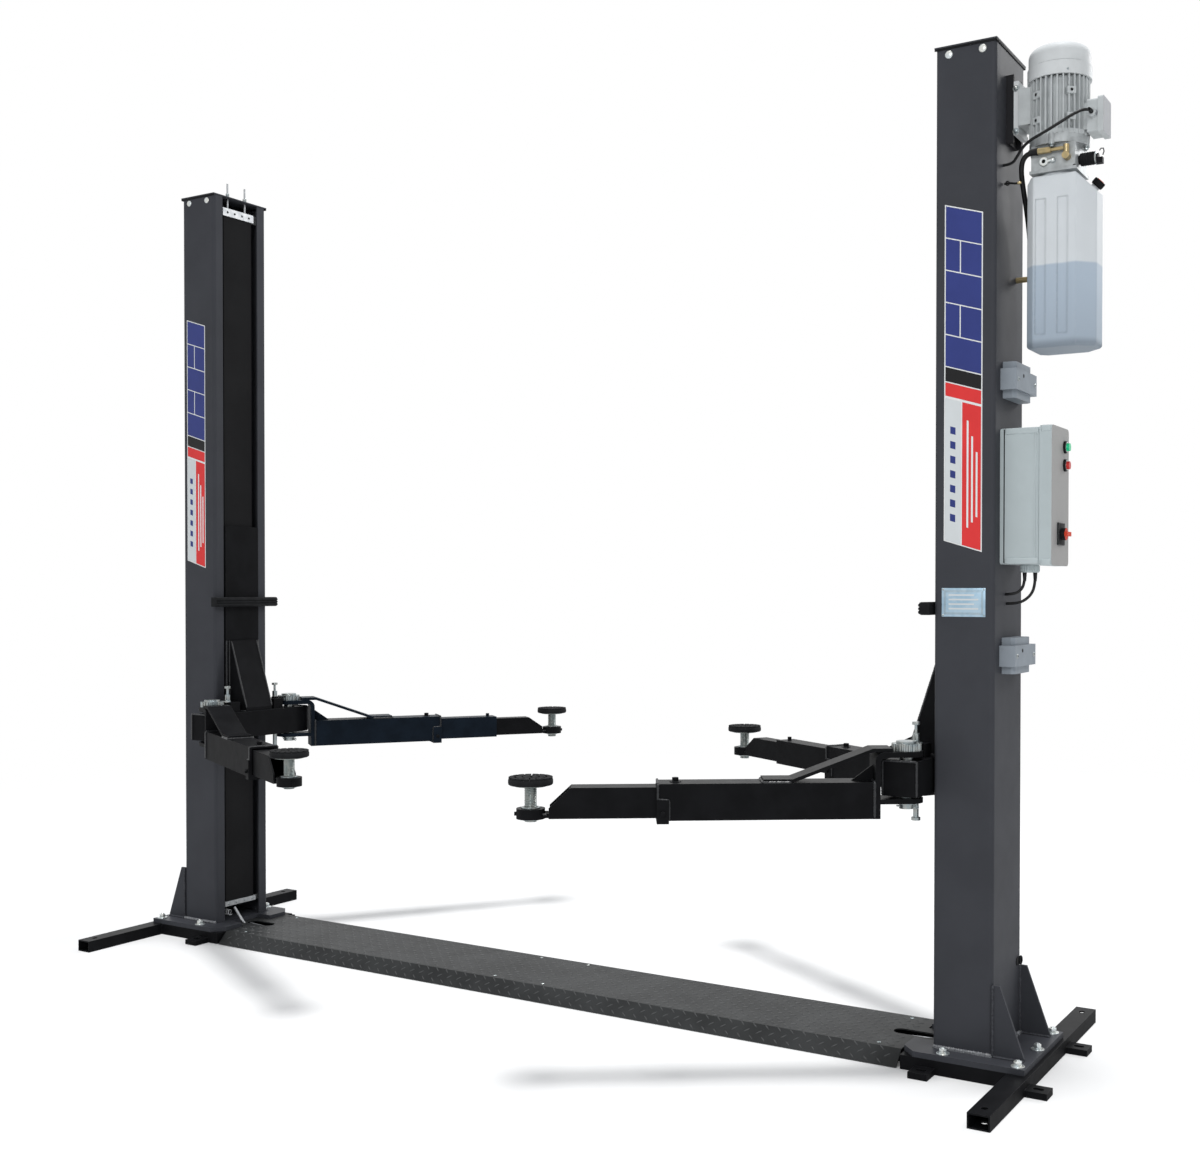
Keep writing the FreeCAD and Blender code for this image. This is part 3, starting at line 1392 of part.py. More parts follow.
def oil_tank():
    """Blown tank: chamfered upright corners, sloped shoulders, recessed panels on both broad sides."""
    body = new_body("TankBottle")
    section = new_sketch(body, "XY", "tank_bottom")
    inner, half = "tank_inner_x", "tank_half_width"
    outline(section, [
        (f"{inner} + tank_corner_in", f"-{half}"), (f"{tank_outer} - tank_corner_out", f"-{half}"),
        (tank_outer, f"tank_corner_out - {half}"), (tank_outer, f"{half} - tank_corner_out"),
        (f"{tank_outer} - tank_corner_out", half), (f"{inner} + tank_corner_in", half),
        (inner, f"{half} - tank_corner_in"), (inner, f"tank_corner_in - {half}"),
    ])
    pad(body, section, "tank_height")
    shoulders = new_sketch(body, "XZ")
    outline(shoulders, [
        (f"{tank_outer} - tank_slope_out", "tank_top"), (tank_outer, "tank_top"),
        (tank_outer, f"tank_top - tank_slope_out"),
    ])
    outline(shoulders, [
        (inner, f"tank_top - tank_slope_in"), (inner, "tank_top"), (f"{inner} + tank_slope_in", "tank_top"),
    ])
    pocket(body, shoulders, f"2 * {half} + tank_slope_in", midplane=True)
    for face, backwards in ((half, False), (f"-{half}", True)):
        panels = new_sketch(body, "XZ", face)
        for number in range(int(size("panel_count"))):
            centre = f"{axis_x} + ({number} - (panel_count - 1) / 2) * panel_pitch"
            rectangle(panels, (f"{centre} - panel_width / 2", f"{centre} + panel_width / 2"),
                      ("tank_bottom + panel_lift", "tank_bottom + panel_lift + panel_height"))
        pocket(body, panels, "panel_depth", backwards=backwards)
    doc.recompute()
    foot_edges = []
    for number, edge in enumerate(body.Shape.Edges, start=1):
        if edge.BoundBox.ZMax < size("tank_bottom") + size("panel_depth"):
            foot_edges.append(f"Edge{number}")
    bottle = body.Tip
    fillet = body.newObject("PartDesign::Fillet", "TankRound")
    fillet.Base = (bottle, foot_edges)
    fillet.setExpression("Radius", bound("tank_round"))
    body.Tip = fillet
    return body


spout_tilt = size("tank_spout_tilt")
spout_x = f"{tank_outer} - tank_spout_inset - tank_spout_sink * sin(tank_spout_tilt)"
spout_z = f"tank_top - tank_slope_out + tank_spout_inset - tank_spout_sink * cos(tank_spout_tilt)"
node("oil_tank", fuse("OilTank", [
    oil_tank(),
    cylinder("TankNeck", "tank_neck_radius", "tank_neck_length", axis_x, "0", "tank_top"),
    turned(cylinder("TankSpout", "tank_spout_radius", "tank_spout_length", spout_x, "0", spout_z),
           ALONG_Y, spout_tilt),
]))
node("tank_cap", turned(cylinder(
    "TankCap", "tank_cap_radius", "tank_cap_height",
    f"{spout_x} + tank_spout_length * sin(tank_spout_tilt)", "0",
    f"{spout_z} + tank_spout_length * cos(tank_spout_tilt)"), ALONG_Y, spout_tilt))

coil_start = f"{axis_x} + pump_block_half + valve_nut_length"
coil_end = f"{coil_start} + valve_length"
node("release_valve", fuse("ReleaseValve", [
    turned(cylinder("ValveNut", "valve_nut_radius", "valve_nut_length", f"{axis_x} + pump_block_half",
                    "valve_y", "valve_z"), ALONG_Y, 90),
    turned(cylinder("ValveCoil", "valve_radius", "valve_length", coil_start, "valve_y", "valve_z"),
           ALONG_Y, 90),
    turned(cylinder("ValveRing", "valve_nut_radius", "valve_ring_length", coil_end, "valve_y", "valve_z"),
           ALONG_Y, 90),
    box("ValvePlug", (coil_end, f"{coil_end} + valve_plug_length"),
        ("valve_y - valve_plug_half", "valve_y + valve_plug_half"),
        ("valve_z - valve_radius", "valve_z - valve_radius + 2 * valve_plug_half")),
]))
ferrule_start = "fitting_x - pipe_length - ferrule_length"
pump_fitting = fuse("PumpFitting", [
    turned(cylinder("FittingStud", "fitting_radius", "fitting_stand", "fitting_x", "-pump_block_half",
                    "fitting_z"), ALONG_X, 90),
    cylinder("FittingElbow", "elbow_radius", "pipe_z - fitting_z + elbow_radius", "fitting_x", "elbow_y",
             "fitting_z"),
    turned(cylinder("FittingPipe", "pipe_radius", "pipe_length", "fitting_x - pipe_length", "elbow_y",
                    "pipe_z"), ALONG_Y, 90),
    turned(cylinder("FittingFerrule", "ferrule_radius", "ferrule_length", ferrule_start, "elbow_y",
                    "pipe_z"), ALONG_Y, 90),
])
post_port = fuse("PostPort", [
    cylinder("PortFerrule", "ferrule_radius", "ferrule_length", "port_x", "port_y",
             "port_top - ferrule_length"),
    turned(cylinder("PortStud", "elbow_radius", f"port_x - ({post_face})", post_face, "port_y",
                    "port_top - ferrule_length + fitting_radius"), ALONG_Y, 90),
])
node("hose_fitting", group("HoseFitting", [pump_fitting, post_port]))


# Hose and cables: straight runs joined by arcs as large as the runs allow
ARC_SHARE = 0.45


def cord(name, points, diameter):
    """Round cord through hand-chosen points."""
    route = [FreeCAD.Vector(*point) for point in points]
    edges = []
    start = route[0]
    radii = []
    for before, corner, after in zip(route, route[1:], route[2:]):
        inward = (before - corner).normalize()
        outward = (after - corner).normalize()
        half_turn = (math.pi - inward.getAngle(outward)) / 2
        trim = ARC_SHARE * min((before - corner).Length, (after - corner).Length)
        radius = trim / math.tan(half_turn)
        radii.append(radius)
        first = corner + inward * trim
        last = corner + outward * trim
        bisector = (inward + outward).normalize()
        centre = corner + bisector * (radius / math.cos(half_turn))
        middle = centre - bisector * radius
        edges.append(Part.LineSegment(start, first).toShape())
        edges.append(Part.Arc(first, middle, last).toShape())
        start = last
    edges.append(Part.LineSegment(start, route[-1]).toShape())
    path = Part.Wire(edges)
    heading = (route[1] - route[0]).normalize()
    section = Part.Wire([Part.Circle(route[0], heading, diameter / 2).toShape()])
    tube = path.makePipeShell([section], True, False, 0)
    solid = tube if tube.ShapeType == "Solid" else Part.Solid(tube)
    expected = math.pi * diameter ** 2 / 4 * path.Length
    print(f"{name}: length {path.Length:.0f} mm, smallest radius {min(radii):.0f} mm, "
          f"volume ratio {solid.Volume / expected:.4f}")
    feature = doc.addObject("Part::Feature", name)
    feature.Shape = solid
    return feature


face_x = size("post_inner_x") + size("post_depth")
HOSE_ROUTE = [
    (evaluate(ferrule_start), size("elbow_y"), size("pipe_z")),
    (1681, -72, 2514),
    (1662, -66, 2500),
    (1655, -56, 2474),
    (1654, -41, 2445),
    (1654, -23, 2415),
    (1653, -2, 2386),
    (1651, 20, 2358),
    (1649, 40, 2328),
    (1648, 55, 2296),
    (size("port_x"), size("port_y"), 2262),
    (size("port_x"), size("port_y"), size("port_top")),
]
node("hydraulic_hose", cord("HydraulicHose", HOSE_ROUTE, size("hose_diameter")))
MOTOR_CABLE_ROUTE = [
    (evaluate(f"{terminal_inner} + motor_gland_inset"),
     evaluate("terminal_rim - terminal_half - motor_gland_length"),
     evaluate("terminal_bottom + motor_gland_rise")),
    (1845, -82, 2604),
    (1822, -106, 2594),
    (1776, -120, 2566),
    (1732, -120, 2546),
    (1696, -106, 2538),
    (1668, -86, 2528),
    (1648, -72, 2508),
    (1632, -62, 2494),
    (face_x, -62, 2494),
]
node("motor_cable", cord("MotorCable", MOTOR_CABLE_ROUTE, size("motor_cable_diameter")))
gland_end = size("box_bottom") - size("gland_length")
NEAR_CABLE_ROUTE = [
    (1657, -14, gland_end),
    (1657, -14, 1350),
    (1649, -22, 1328),
    (1630, -30, 1318),
    (face_x, -30, 1318),
]
FAR_CABLE_ROUTE = [
    (1683, -2, gland_end),
    (1683, -2, 1346),
    (1675, -8, 1318),
    (1655, -15, 1299),
    (1632, -20, 1292),
    (face_x, -20, 1292),
]
node("control_cable_near", cord("NearCable", NEAR_CABLE_ROUTE, size("control_cable_diameter")))
node("control_cable_far", cord("FarCable", FAR_CABLE_ROUTE, size("control_cable_diameter")))

doc.recompute()

for item in doc.Objects:
    if "Invalid" in item.State or "Error" in item.State:
        raise RuntimeError(f"{item.Name} failed: {item.State}")
for label, item in NODES.items():
    shape = item.Shape
    if shape.isNull() or not shape.isValid():
        raise RuntimeError(f"{label} has no valid shape")

os.makedirs("parts", exist_ok=True)
for label, item in NODES.items():
    item.Shape.exportStep(f"parts/{label}.step")
    print(f"{label}: {len(item.Shape.Solids)} solids, {item.Shape.Volume / 1e6:.2f} dm3")
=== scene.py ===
"""Dressed model of a two post car lift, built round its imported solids.

Lengths are in metres. X runs from the left post to the right one, Y from the front to the back and
Z up from the floor.
"""

import logging
import math
import random
from dataclasses import dataclass
from enum import Enum
from typing import Callable, Optional, Sequence, Union

import bmesh
import bpy
from mathutils import Matrix, Vector

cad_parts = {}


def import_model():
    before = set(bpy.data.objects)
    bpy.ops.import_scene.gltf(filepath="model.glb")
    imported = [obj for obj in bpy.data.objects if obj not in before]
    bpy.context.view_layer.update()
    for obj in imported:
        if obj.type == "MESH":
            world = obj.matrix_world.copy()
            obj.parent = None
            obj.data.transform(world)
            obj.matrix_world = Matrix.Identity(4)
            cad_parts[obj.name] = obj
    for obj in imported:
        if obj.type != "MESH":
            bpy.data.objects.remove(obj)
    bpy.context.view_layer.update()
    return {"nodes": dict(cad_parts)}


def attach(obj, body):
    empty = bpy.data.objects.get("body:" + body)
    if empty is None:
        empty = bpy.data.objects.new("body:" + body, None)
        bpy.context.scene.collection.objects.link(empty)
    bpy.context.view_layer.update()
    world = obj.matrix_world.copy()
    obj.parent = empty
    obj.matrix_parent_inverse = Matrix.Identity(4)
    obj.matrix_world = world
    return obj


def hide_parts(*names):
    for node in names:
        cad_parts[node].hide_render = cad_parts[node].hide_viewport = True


LOG = logging.getLogger("car_lift")
Colour = tuple[float, float, float]
Point = Sequence[float]
UP: Point = (0.0, 0.0, 1.0)


class Side(Enum):
    """The two posts, by the sign of their place along X."""

    LEFT = -1
    RIGHT = 1

    @property
    def word(self) -> str:
        """The side's name in lower case."""
        return self.name.lower()


class End(Enum):
    """The front and the back of a carriage, by the sign of their place along Y."""

    FRONT = -1
    REAR = 1

    @property
    def word(self) -> str:
        """The end's name in lower case."""
        return self.name.lower()


# Shader arithmetic


class Field:
    """A value that changes over a surface, held by one output socket."""

    def __init__(self, tree: "ShaderTree", socket: bpy.types.NodeSocket) -> None:
        """Keep the tree that the value lives in and its socket."""
        self.tree = tree
        self.socket = socket

    def _math(self, operation: str, *values: "Number") -> "Field":
        """Join values with one Math node."""
        return self.tree.node("ShaderNodeMath", {"operation": operation}, dict(enumerate(values)))

    def __add__(self, other: "Number") -> "Field":
        """Sum of two values."""
        return self._math("ADD", self, other)

    __radd__ = __add__

    def __sub__(self, other: "Number") -> "Field":
        """Difference of two values."""
        return self._math("SUBTRACT", self, other)

    def __rsub__(self, other: "Number") -> "Field":
        """Difference of a number and this value."""
        return self._math("SUBTRACT", other, self)

    def __mul__(self, other: "Number") -> "Field":
        """Product of two values."""
        return self._math("MULTIPLY", self, other)

    __rmul__ = __mul__

    def wave(self) -> "Field":
        """Sine of the value."""
        return self._math("SINE", self)

    def above(self, limit: "Number") -> "Field":
        """One where the value is over the limit, else nought."""
        return self._math("GREATER_THAN", self, limit)

    def most(self, other: "Number") -> "Field":
        """The larger of two values."""
        return self._math("MAXIMUM", self, other)

    def ramp(self, low: float, high: float) -> "Field":
        """A smooth step from nought at low to one at high."""
        return self.tree.node("ShaderNodeMapRange", {"interpolation_type": "SMOOTHSTEP"},
                              {"Value": self, "From Min": low, "From Max": high})


Number = Union[float, Field]


class ShaderTree:
    """The nodes of one material or world, added through one method."""

    def __init__(self, owner: Union[bpy.types.Material, bpy.types.World]) -> None:
        """Start with no nodes.

        Args:
            owner: The material or world that the nodes belong to.
        """
        owner.use_nodes = True
        self.owner = owner
        self.nodes = owner.node_tree.nodes
        self.links = owner.node_tree.links
        self.nodes.clear()
        self._place: Optional[Field] = None
        self._rounded: Optional[Field] = None

    def node(self, kind: str, settings: Optional[dict] = None, inputs: Optional[dict] = None,
             output: Union[int, str] = 0) -> Field:
        """Add a node.

        Args:
            kind: The node's type.
            settings: Its properties, set first.
            inputs: Values or fields for its sockets, by name or number.
            output: The socket that the result is taken from.

        Returns:
            The value at that socket.
        """
        made = self.nodes.new(kind)
        for key, value in (settings or {}).items():
            setattr(made, key, value)
        for key, value in (inputs or {}).items():
            if isinstance(value, Field):
                self.links.new(value.socket, made.inputs[key])
            else:
                made.inputs[key].default_value = value
        if not made.outputs:
            return Field(self, made.inputs[0])
        return Field(self, made.outputs[output])

    def place(self) -> Field:
        """The point of the surface in the piece's own axes.

        Returns:
            The point, from one node that is made once.
        """
        if self._place is None:
            self._place = self.node("ShaderNodeTexCoord", output="Object")
        return self._place

    def along(self, axis: str) -> Field:
        """One coordinate of the point, X, Y or Z."""
        return self.node("ShaderNodeSeparateXYZ", None, {0: self.place()}, axis)

    def facing(self, axis: str) -> Field:
        """One coordinate of the face's direction, in the piece's own axes."""
        direction = self.node("ShaderNodeTexCoord", output="Normal")
        return self.node("ShaderNodeSeparateXYZ", None, {0: direction}, axis)

    def noise(self, size: float, detail: float = 3.0) -> Field:
        """Soft random spots of a rough size, with finer layers added, round a half."""
        return self.node("ShaderNodeTexNoise", None,
                         {"Vector": self.place(), "Scale": 1.0 / size, "Detail": detail})

    def cells(self, size: float) -> Field:
        """Distance from the middle of random cells, in cells."""
        return self.node("ShaderNodeTexVoronoi", None,
                         {"Vector": self.place(), "Scale": 1.0 / size})

    def blend(self, share: Number, first: Union[Field, Colour], second: Union[Field, Colour]) -> Field:
        """Mix two colours.

        Args:
            share: Nought for the first colour and one for the second.
            first: A colour or a field of colour.
            second: A colour or a field of colour.

        Returns:
            The mixed colour.
        """
        ends = [value if isinstance(value, Field) else (*value, 1.0) for value in (first, second)]
        return self.node("ShaderNodeMix", {"data_type": "RGBA"}, {0: share, 6: ends[0], 7: ends[1]}, 2)

    def rounded(self, radius: float) -> Field:
        """The face's direction with its edges rounded off.

        Args:
            radius: The radius of the rounding, the same on every call.

        Returns:
            The direction, from one node that is made once.
        """
        if self._rounded is None:
            self._rounded = self.node("ShaderNodeBevel", {"samples": 4}, {"Radius": radius})
        return self._rounded

    def edges(self, radius: float) -> Field:
        """Find the edges.

        Args:
            radius: The radius that they are rounded with.

        Returns:
            Nought on flat faces and about one on sharp edges.
        """
        true_normal = self.node("ShaderNodeNewGeometry", output="True Normal")
        same = self.node("ShaderNodeVectorMath", {"operation": "DOT_PRODUCT"},
                         {0: self.rounded(radius), 1: true_normal}, "Value")
        return (1.0 - same).ramp(0.02, 0.22)

    def bump(self, height: Field, depth: float, under: Field) -> Field:
        """Turn a height into a surface direction.

        Args:
            height: The height, from nought to one.
            depth: The height of one, in metres.
            under: The surface direction that the bump lies on.

        Returns:
            The new surface direction.
        """
        return self.node("ShaderNodeBump", None,
                         {"Height": height, "Distance": depth, "Strength": 1.0, "Normal": under})

    def seen(self) -> Field:
        """Tell the rays that show the background from those that light the lift.

        Returns:
            One for straight, mirrored and passing rays, else nought.
        """
        straight, mirrored_ray, passing = (
            self.node("ShaderNodeLightPath", output=name)
            for name in ("Is Camera Ray", "Is Glossy Ray", "Is Transmission Ray"))
        return straight.most(mirrored_ray).most(passing)

    def finish(self, shader: Field, kind: str = "ShaderNodeOutputMaterial"
               ) -> Union[bpy.types.Material, bpy.types.World]:
        """Show a shader and give its owner back."""
        self.node(kind, None, {"Surface": shader})
        return self.owner


# Finishes


@dataclass(frozen=True)
class Finish:
    """A coat or a bulk material, with its grain and the marks of use."""

    name: str
    colour: Colour
    roughness: float = 0.5
    metallic: float = 0.0
    shade: float = 0.12
    blotch: float = 0.09
    grain: float = 0.0012
    grain_depth: float = 0.00006
    spread: float = 0.10
    rim: float = 0.0012
    rim_colour: Colour = (0.30, 0.30, 0.31)
    rim_share: float = 0.35
    specular: float = 0.5

    def tint(self, tree: ShaderTree) -> Field:
        """The colour, with soft lighter and darker spots.

        Args:
            tree: The material's nodes.

        Returns:
            The colour over the surface.
        """
        dark = tuple(part * (1.0 - self.shade) for part in self.colour)
        light = tuple(min(1.0, part * (1.0 + self.shade)) for part in self.colour)
        return tree.blend(tree.noise(self.blotch).ramp(0.3, 0.7), dark, light)

    def height(self, tree: ShaderTree) -> Field:
        """The height of the fine grain."""
        return tree.noise(self.grain, 2.0)

    def gloss(self, tree: ShaderTree) -> Field:
        """The roughness, changing slowly over the surface."""
        return (tree.noise(self.blotch * 0.4) - 0.5) * self.spread + self.roughness

    def worn(self, tree: ShaderTree, colour: Field) -> Field:
        """The colour with its edges rubbed towards the rim colour."""
        rub = tree.edges(self.rim) * tree.noise(0.012).ramp(0.35, 0.65) * self.rim_share
        return tree.blend(rub, colour, self.rim_colour)

    def extra(self) -> dict:
        """Fixed inputs of the shader beyond the common ones."""
        return {}

    def material(self) -> bpy.types.Material:
        """Make the material of this finish.

        Returns:
            The new material.
        """
        tree = ShaderTree(bpy.data.materials.new(self.name))
        inputs = {
            "Base Color": self.worn(tree, self.tint(tree)),
            "Roughness": self.gloss(tree),
            "Metallic": self.metallic,
            "Normal": tree.bump(self.height(tree), self.grain_depth, tree.rounded(self.rim)),
            "Specular IOR Level": self.specular,
        }
        inputs.update(self.extra())
        return tree.finish(tree.node("ShaderNodeBsdfPrincipled", None, inputs))


@dataclass(frozen=True)
class LevelGloss(Finish):
    """Sprayed paint that lies smoother where it flowed out on level faces."""

    level_roughness: float = 0.38

    def gloss(self, tree: ShaderTree) -> Field:
        """The common roughness, less on faces that look up."""
        level = tree.facing("Z").ramp(0.7, 0.95)
        return super().gloss(tree) + level * (self.level_roughness - self.roughness)


@dataclass(frozen=True)
class PowderCoat(LevelGloss):
    """Charcoal powder coat with a metallic speckle and a fine orange peel."""

    fleck: Colour = (0.20, 0.20, 0.22)

    def tint(self, tree: ShaderTree) -> Field:
        """The coat with light flecks scattered through it."""
        flecks = (1.0 - tree.cells(0.0022)).ramp(0.78, 0.95) * tree.noise(0.006).ramp(0.45, 0.7)
        return tree.blend(flecks * 0.5, super().tint(tree), self.fleck)


@dataclass(frozen=True)
class Zinc(Finish):
    """Bright zinc plate with a faint blue and straw passivated cloud."""

    cool: Colour = (0.52, 0.60, 0.63)
    warm: Colour = (0.66, 0.64, 0.56)

    def tint(self, tree: ShaderTree) -> Field:
        """The plate's cloud, cool to warm."""
        cloud = tree.blend(tree.noise(0.02).ramp(0.35, 0.7), self.cool, self.warm)
        return tree.blend(0.45, super().tint(tree), cloud)


@dataclass(frozen=True)
class Casting(Finish):
    """Sand cast aluminium under a thin spray of paint."""

    def height(self, tree: ShaderTree) -> Field:
        """Coarse pores over a fine grain."""
        return tree.noise(self.grain, 4.0) * 0.7 + tree.cells(self.grain * 3.0) * 0.3


@dataclass(frozen=True)
class OilTankPlastic(Finish):
    """Milky blow moulded plastic that shows the oil standing in it."""

    oil: Colour = (0.40, 0.47, 0.545)
    foot: float = 1.990
    level: float = 2.208
    meniscus: float = 0.004
    fade: float = 0.24
    # Height over which the painted shade at the tank's foot fades out.
    foot_rise: float = 0.022

    def tint(self, tree: ShaderTree) -> Field:
        """Milky above the oil and blue grey below it, darker towards the bottom, with painted shade at the
        tank's foot.

        Args:
            tree: The material's nodes.

        Returns:
            The colour over the surface.
        """
        height = tree.along("Z") + tree.noise(0.05) * 0.001
        above = height.ramp(self.level - self.meniscus, self.level + self.meniscus)
        deep = tree.along("Z").ramp(self.level - self.fade, self.level)
        dark = tuple(part * 0.86 for part in self.oil)
        # Painted shade: the oil colour falls to about half over the lowest part of the tank, just above its
        # foot.
        bottom = tuple(part * 0.55 for part in self.oil)
        rise = tree.along("Z").ramp(self.foot, self.foot + self.foot_rise)
        filled = tree.blend(rise, bottom, tree.blend(deep, dark, self.oil))
        return tree.blend(above, filled, super().tint(tree))

    def extra(self) -> dict:
        """A soft glow of light inside the plastic."""
        return {"Subsurface Weight": 0.25, "Subsurface Radius": (0.012, 0.012, 0.012),
                "Subsurface Scale": 0.5}


@dataclass(frozen=True)
class Webbing(Finish):
    """Tightly woven coated strip."""

    thread: float = 0.0016

    def height(self, tree: ShaderTree) -> Field:
        """Threads over and under each other."""
        turn = 2.0 * math.pi / self.thread
        return (tree.along("Y") * turn).wave() * (tree.along("Z") * turn).wave() * 0.5 + 0.5


@dataclass(frozen=True)
class LitLens(Finish):
    """Coloured lens with a lamp behind it."""

    glow: float = 0.35

    def extra(self) -> dict:
        """The light that the lens gives off."""
        return {"Emission Color": (*self.colour, 1.0), "Emission Strength": self.glow}


@dataclass(frozen=True)
class TwoTone(Finish):
    """A coat that gives way to a second one past a place along X, or on faces towards +X; on the terminal box
    that second colour is painted shade.
    """

    second: Colour = (0.6, 0.6, 0.6)
    change: float = 0.0
    mirror_faces: bool = False

    def tint(self, tree: ShaderTree) -> Field:
        """The first coat up to the change and the second one past it; on the terminal box the second colour is
        painted shade on its faces towards +X.
        """
        past = tree.facing("X").above(0.8) if self.mirror_faces else tree.along("X").above(self.change)
        return tree.blend(past, super().tint(tree), self.second)


@dataclass(frozen=True)
class TreadPaint(Finish):
    """Paint on the checker bars, dark on the level, with a painted highlight that makes them lighter on the
    slopes.
    """

    # Painted highlight: the lighter colour of bars on sloping faces, where they catch the light.
    slope_highlight: Colour = (0.055, 0.057, 0.058)

    def tint(self, tree: ShaderTree) -> Field:
        """The paint, and a lighter painted highlight where a bar leans."""
        level = tree.facing("Z").ramp(0.72, 0.84)
        return tree.blend(1.0 - level, super().tint(tree), self.slope_highlight)


CHARCOAL = PowderCoat("post_powder_coat", (0.043, 0.045, 0.052), roughness=0.58, shade=0.06,
                      blotch=0.16, grain=0.0016, grain_depth=0.00009, rim_share=0.3, specular=0.10,
                      rim_colour=(0.17, 0.17, 0.18), fleck=(0.11, 0.11, 0.12))
GLOSS_BLACK = LevelGloss("black_paint", (0.0058, 0.0060, 0.0068), roughness=0.62, shade=0.2,
                         blotch=0.07, grain=0.004, grain_depth=0.00010, rim=0.0016,
                         rim_colour=(0.055, 0.057, 0.062), rim_share=0.55, specular=0.05)
NAVY_BLACK = LevelGloss("navy_paint", (0.0062, 0.0105, 0.0170), roughness=0.62, shade=0.2,
                        blotch=0.07, grain=0.004, grain_depth=0.00010, rim=0.0016,
                        rim_colour=(0.045, 0.060, 0.075), rim_share=0.55, specular=0.05)
TREAD_BLACK = Finish("checker_sheet", (0.022, 0.0232, 0.0238), roughness=0.46, shade=0.22,
                     blotch=0.12, grain=0.003, grain_depth=0.00008, rim_colour=(0.08, 0.08, 0.082),
                     rim_share=0.5, specular=0.12)
# Checker bars: dark paint, with TreadPaint's painted highlight on the slopes.
TREAD_BARS = TreadPaint("tread_bars", (0.008, 0.0085, 0.009), roughness=0.42, shade=0.22, blotch=0.06,
                        grain=0.003, grain_depth=0.00005, rim=0.0006, rim_colour=(0.05, 0.05, 0.052),
                        rim_share=0.3, specular=0.25)
ZINC = Zinc("zinc_plate", (0.33, 0.355, 0.36), roughness=0.30, metallic=0.85, shade=0.16,
            blotch=0.03, grain=0.0008, grain_depth=0.00003, rim_share=0.2, cool=(0.24, 0.31, 0.34),
            warm=(0.38, 0.37, 0.33), rim_colour=(0.7, 0.7, 0.7))
BRIGHT_ZINC = Zinc("bright_zinc", (0.62, 0.64, 0.64), roughness=0.30, metallic=0.8, blotch=0.03,
                   grain=0.0008, grain_depth=0.00003, rim_share=0.1, rim_colour=(0.8, 0.8, 0.8))
# Screw thread: zinc plate, darkened partly as painted shade of the thread's grooves.
SCREW_THREAD = Zinc("screw_thread", (0.26, 0.28, 0.275), roughness=0.36, metallic=0.8,
                    cool=(0.17, 0.22, 0.22), warm=(0.31, 0.31, 0.28), blotch=0.03, rim_share=0.2)
GALVANISED = Zinc("galvanised", (0.40, 0.41, 0.42), roughness=0.46, metallic=0.7, blotch=0.014,
                  cool=(0.26, 0.28, 0.30), warm=(0.46, 0.47, 0.48), grain_depth=0.00004)
RUBBER = Finish("black_rubber", (0.0105, 0.0110, 0.0120), roughness=0.70, shade=0.2, blotch=0.03,
                grain=0.0009, grain_depth=0.00008, rim_colour=(0.045, 0.045, 0.046), specular=0.08)
STRIP = Webbing("dust_cover_fabric", (0.0125, 0.0125, 0.0132), roughness=0.72, shade=0.12,
                blotch=0.2, grain_depth=0.00010, rim_share=0.1, specular=0.05)
GREY_COVER = Finish("grey_plastic", (0.250, 0.280, 0.312), roughness=0.56, shade=0.05, blotch=0.05,
                    grain=0.0010, grain_depth=0.00004, rim_colour=(0.40, 0.43, 0.46), rim_share=0.4,
                    specular=0.12)
BOX_GREY = Finish("light_plastic", (0.42, 0.475, 0.485), roughness=0.46, shade=0.03, blotch=0.08,
                  grain=0.0008, grain_depth=0.00003, rim_colour=(0.62, 0.66, 0.66), rim_share=0.5,
                  specular=0.3)
LID_GREY = TwoTone("lid_plastic", (0.42, 0.475, 0.485), roughness=0.50, shade=0.03, blotch=0.08,
                   grain=0.0008, grain_depth=0.00003, rim_colour=(0.6, 0.62, 0.62), rim_share=0.4,
                   specular=0.2, second=(0.300, 0.297, 0.292), mirror_faces=True)
MOTOR_GREY = Casting("motor_paint", (0.46, 0.485, 0.490), roughness=0.50, shade=0.06,
                     blotch=0.03, grain=0.0016, grain_depth=0.00008,
                     rim_colour=(0.76, 0.78, 0.78), rim_share=0.6, specular=0.12)
COWL_SILVER = Finish("cowl_paint", (0.55, 0.57, 0.575), roughness=0.50, shade=0.04,
                     blotch=0.05, grain=0.0010, grain_depth=0.00003,
                     rim_colour=(0.80, 0.82, 0.82), rim_share=0.6, specular=0.12)
# Painted shade: dark grey for the thin ring at the cowl's step, where the step's shadow falls.
STEP_SHADE = Finish("seam_grey", (0.16, 0.17, 0.175), roughness=0.6, shade=0.2, blotch=0.02,
                   rim_share=0.0, specular=0.1)
CAST_METAL = Casting("cast_aluminium", (0.36, 0.38, 0.385), roughness=0.46, metallic=0.25,
                     shade=0.14, blotch=0.02, grain=0.0018, grain_depth=0.00012,
                     rim_colour=(0.78, 0.79, 0.79), rim_share=0.6, specular=0.2)
BRACKET_PAINT = TwoTone("bracket_paint", (0.018, 0.018, 0.020), roughness=0.6, shade=0.05, blotch=0.05,
                        second=(0.62, 0.64, 0.645), change=1.6285, rim_share=0.2, specular=0.08)
TANK = OilTankPlastic("tank_plastic", (0.60, 0.630, 0.650), roughness=0.52, shade=0.03, blotch=0.15,
                      grain=0.004, grain_depth=0.0001, rim_colour=(0.66, 0.68, 0.70),
                      rim_share=0.25, rim=0.009, specular=0.10)
BLACK_PLASTIC = Finish("black_plastic", (0.0085, 0.0088, 0.0098), roughness=0.60, shade=0.15,
                       blotch=0.02, grain=0.0008, grain_depth=0.00003,
                       rim_colour=(0.07, 0.07, 0.08), specular=0.08)
SWITCH_PAINT = TwoTone("switch_plastic", (0.0085, 0.0088, 0.0098), roughness=0.50, shade=0.1,
                       blotch=0.01, grain=0.0008, grain_depth=0.00003, rim_colour=(0.5, 0.2, 0.15),
                       rim_share=0.1, specular=0.12, second=(0.60, 0.055, 0.025), change=1.7683)
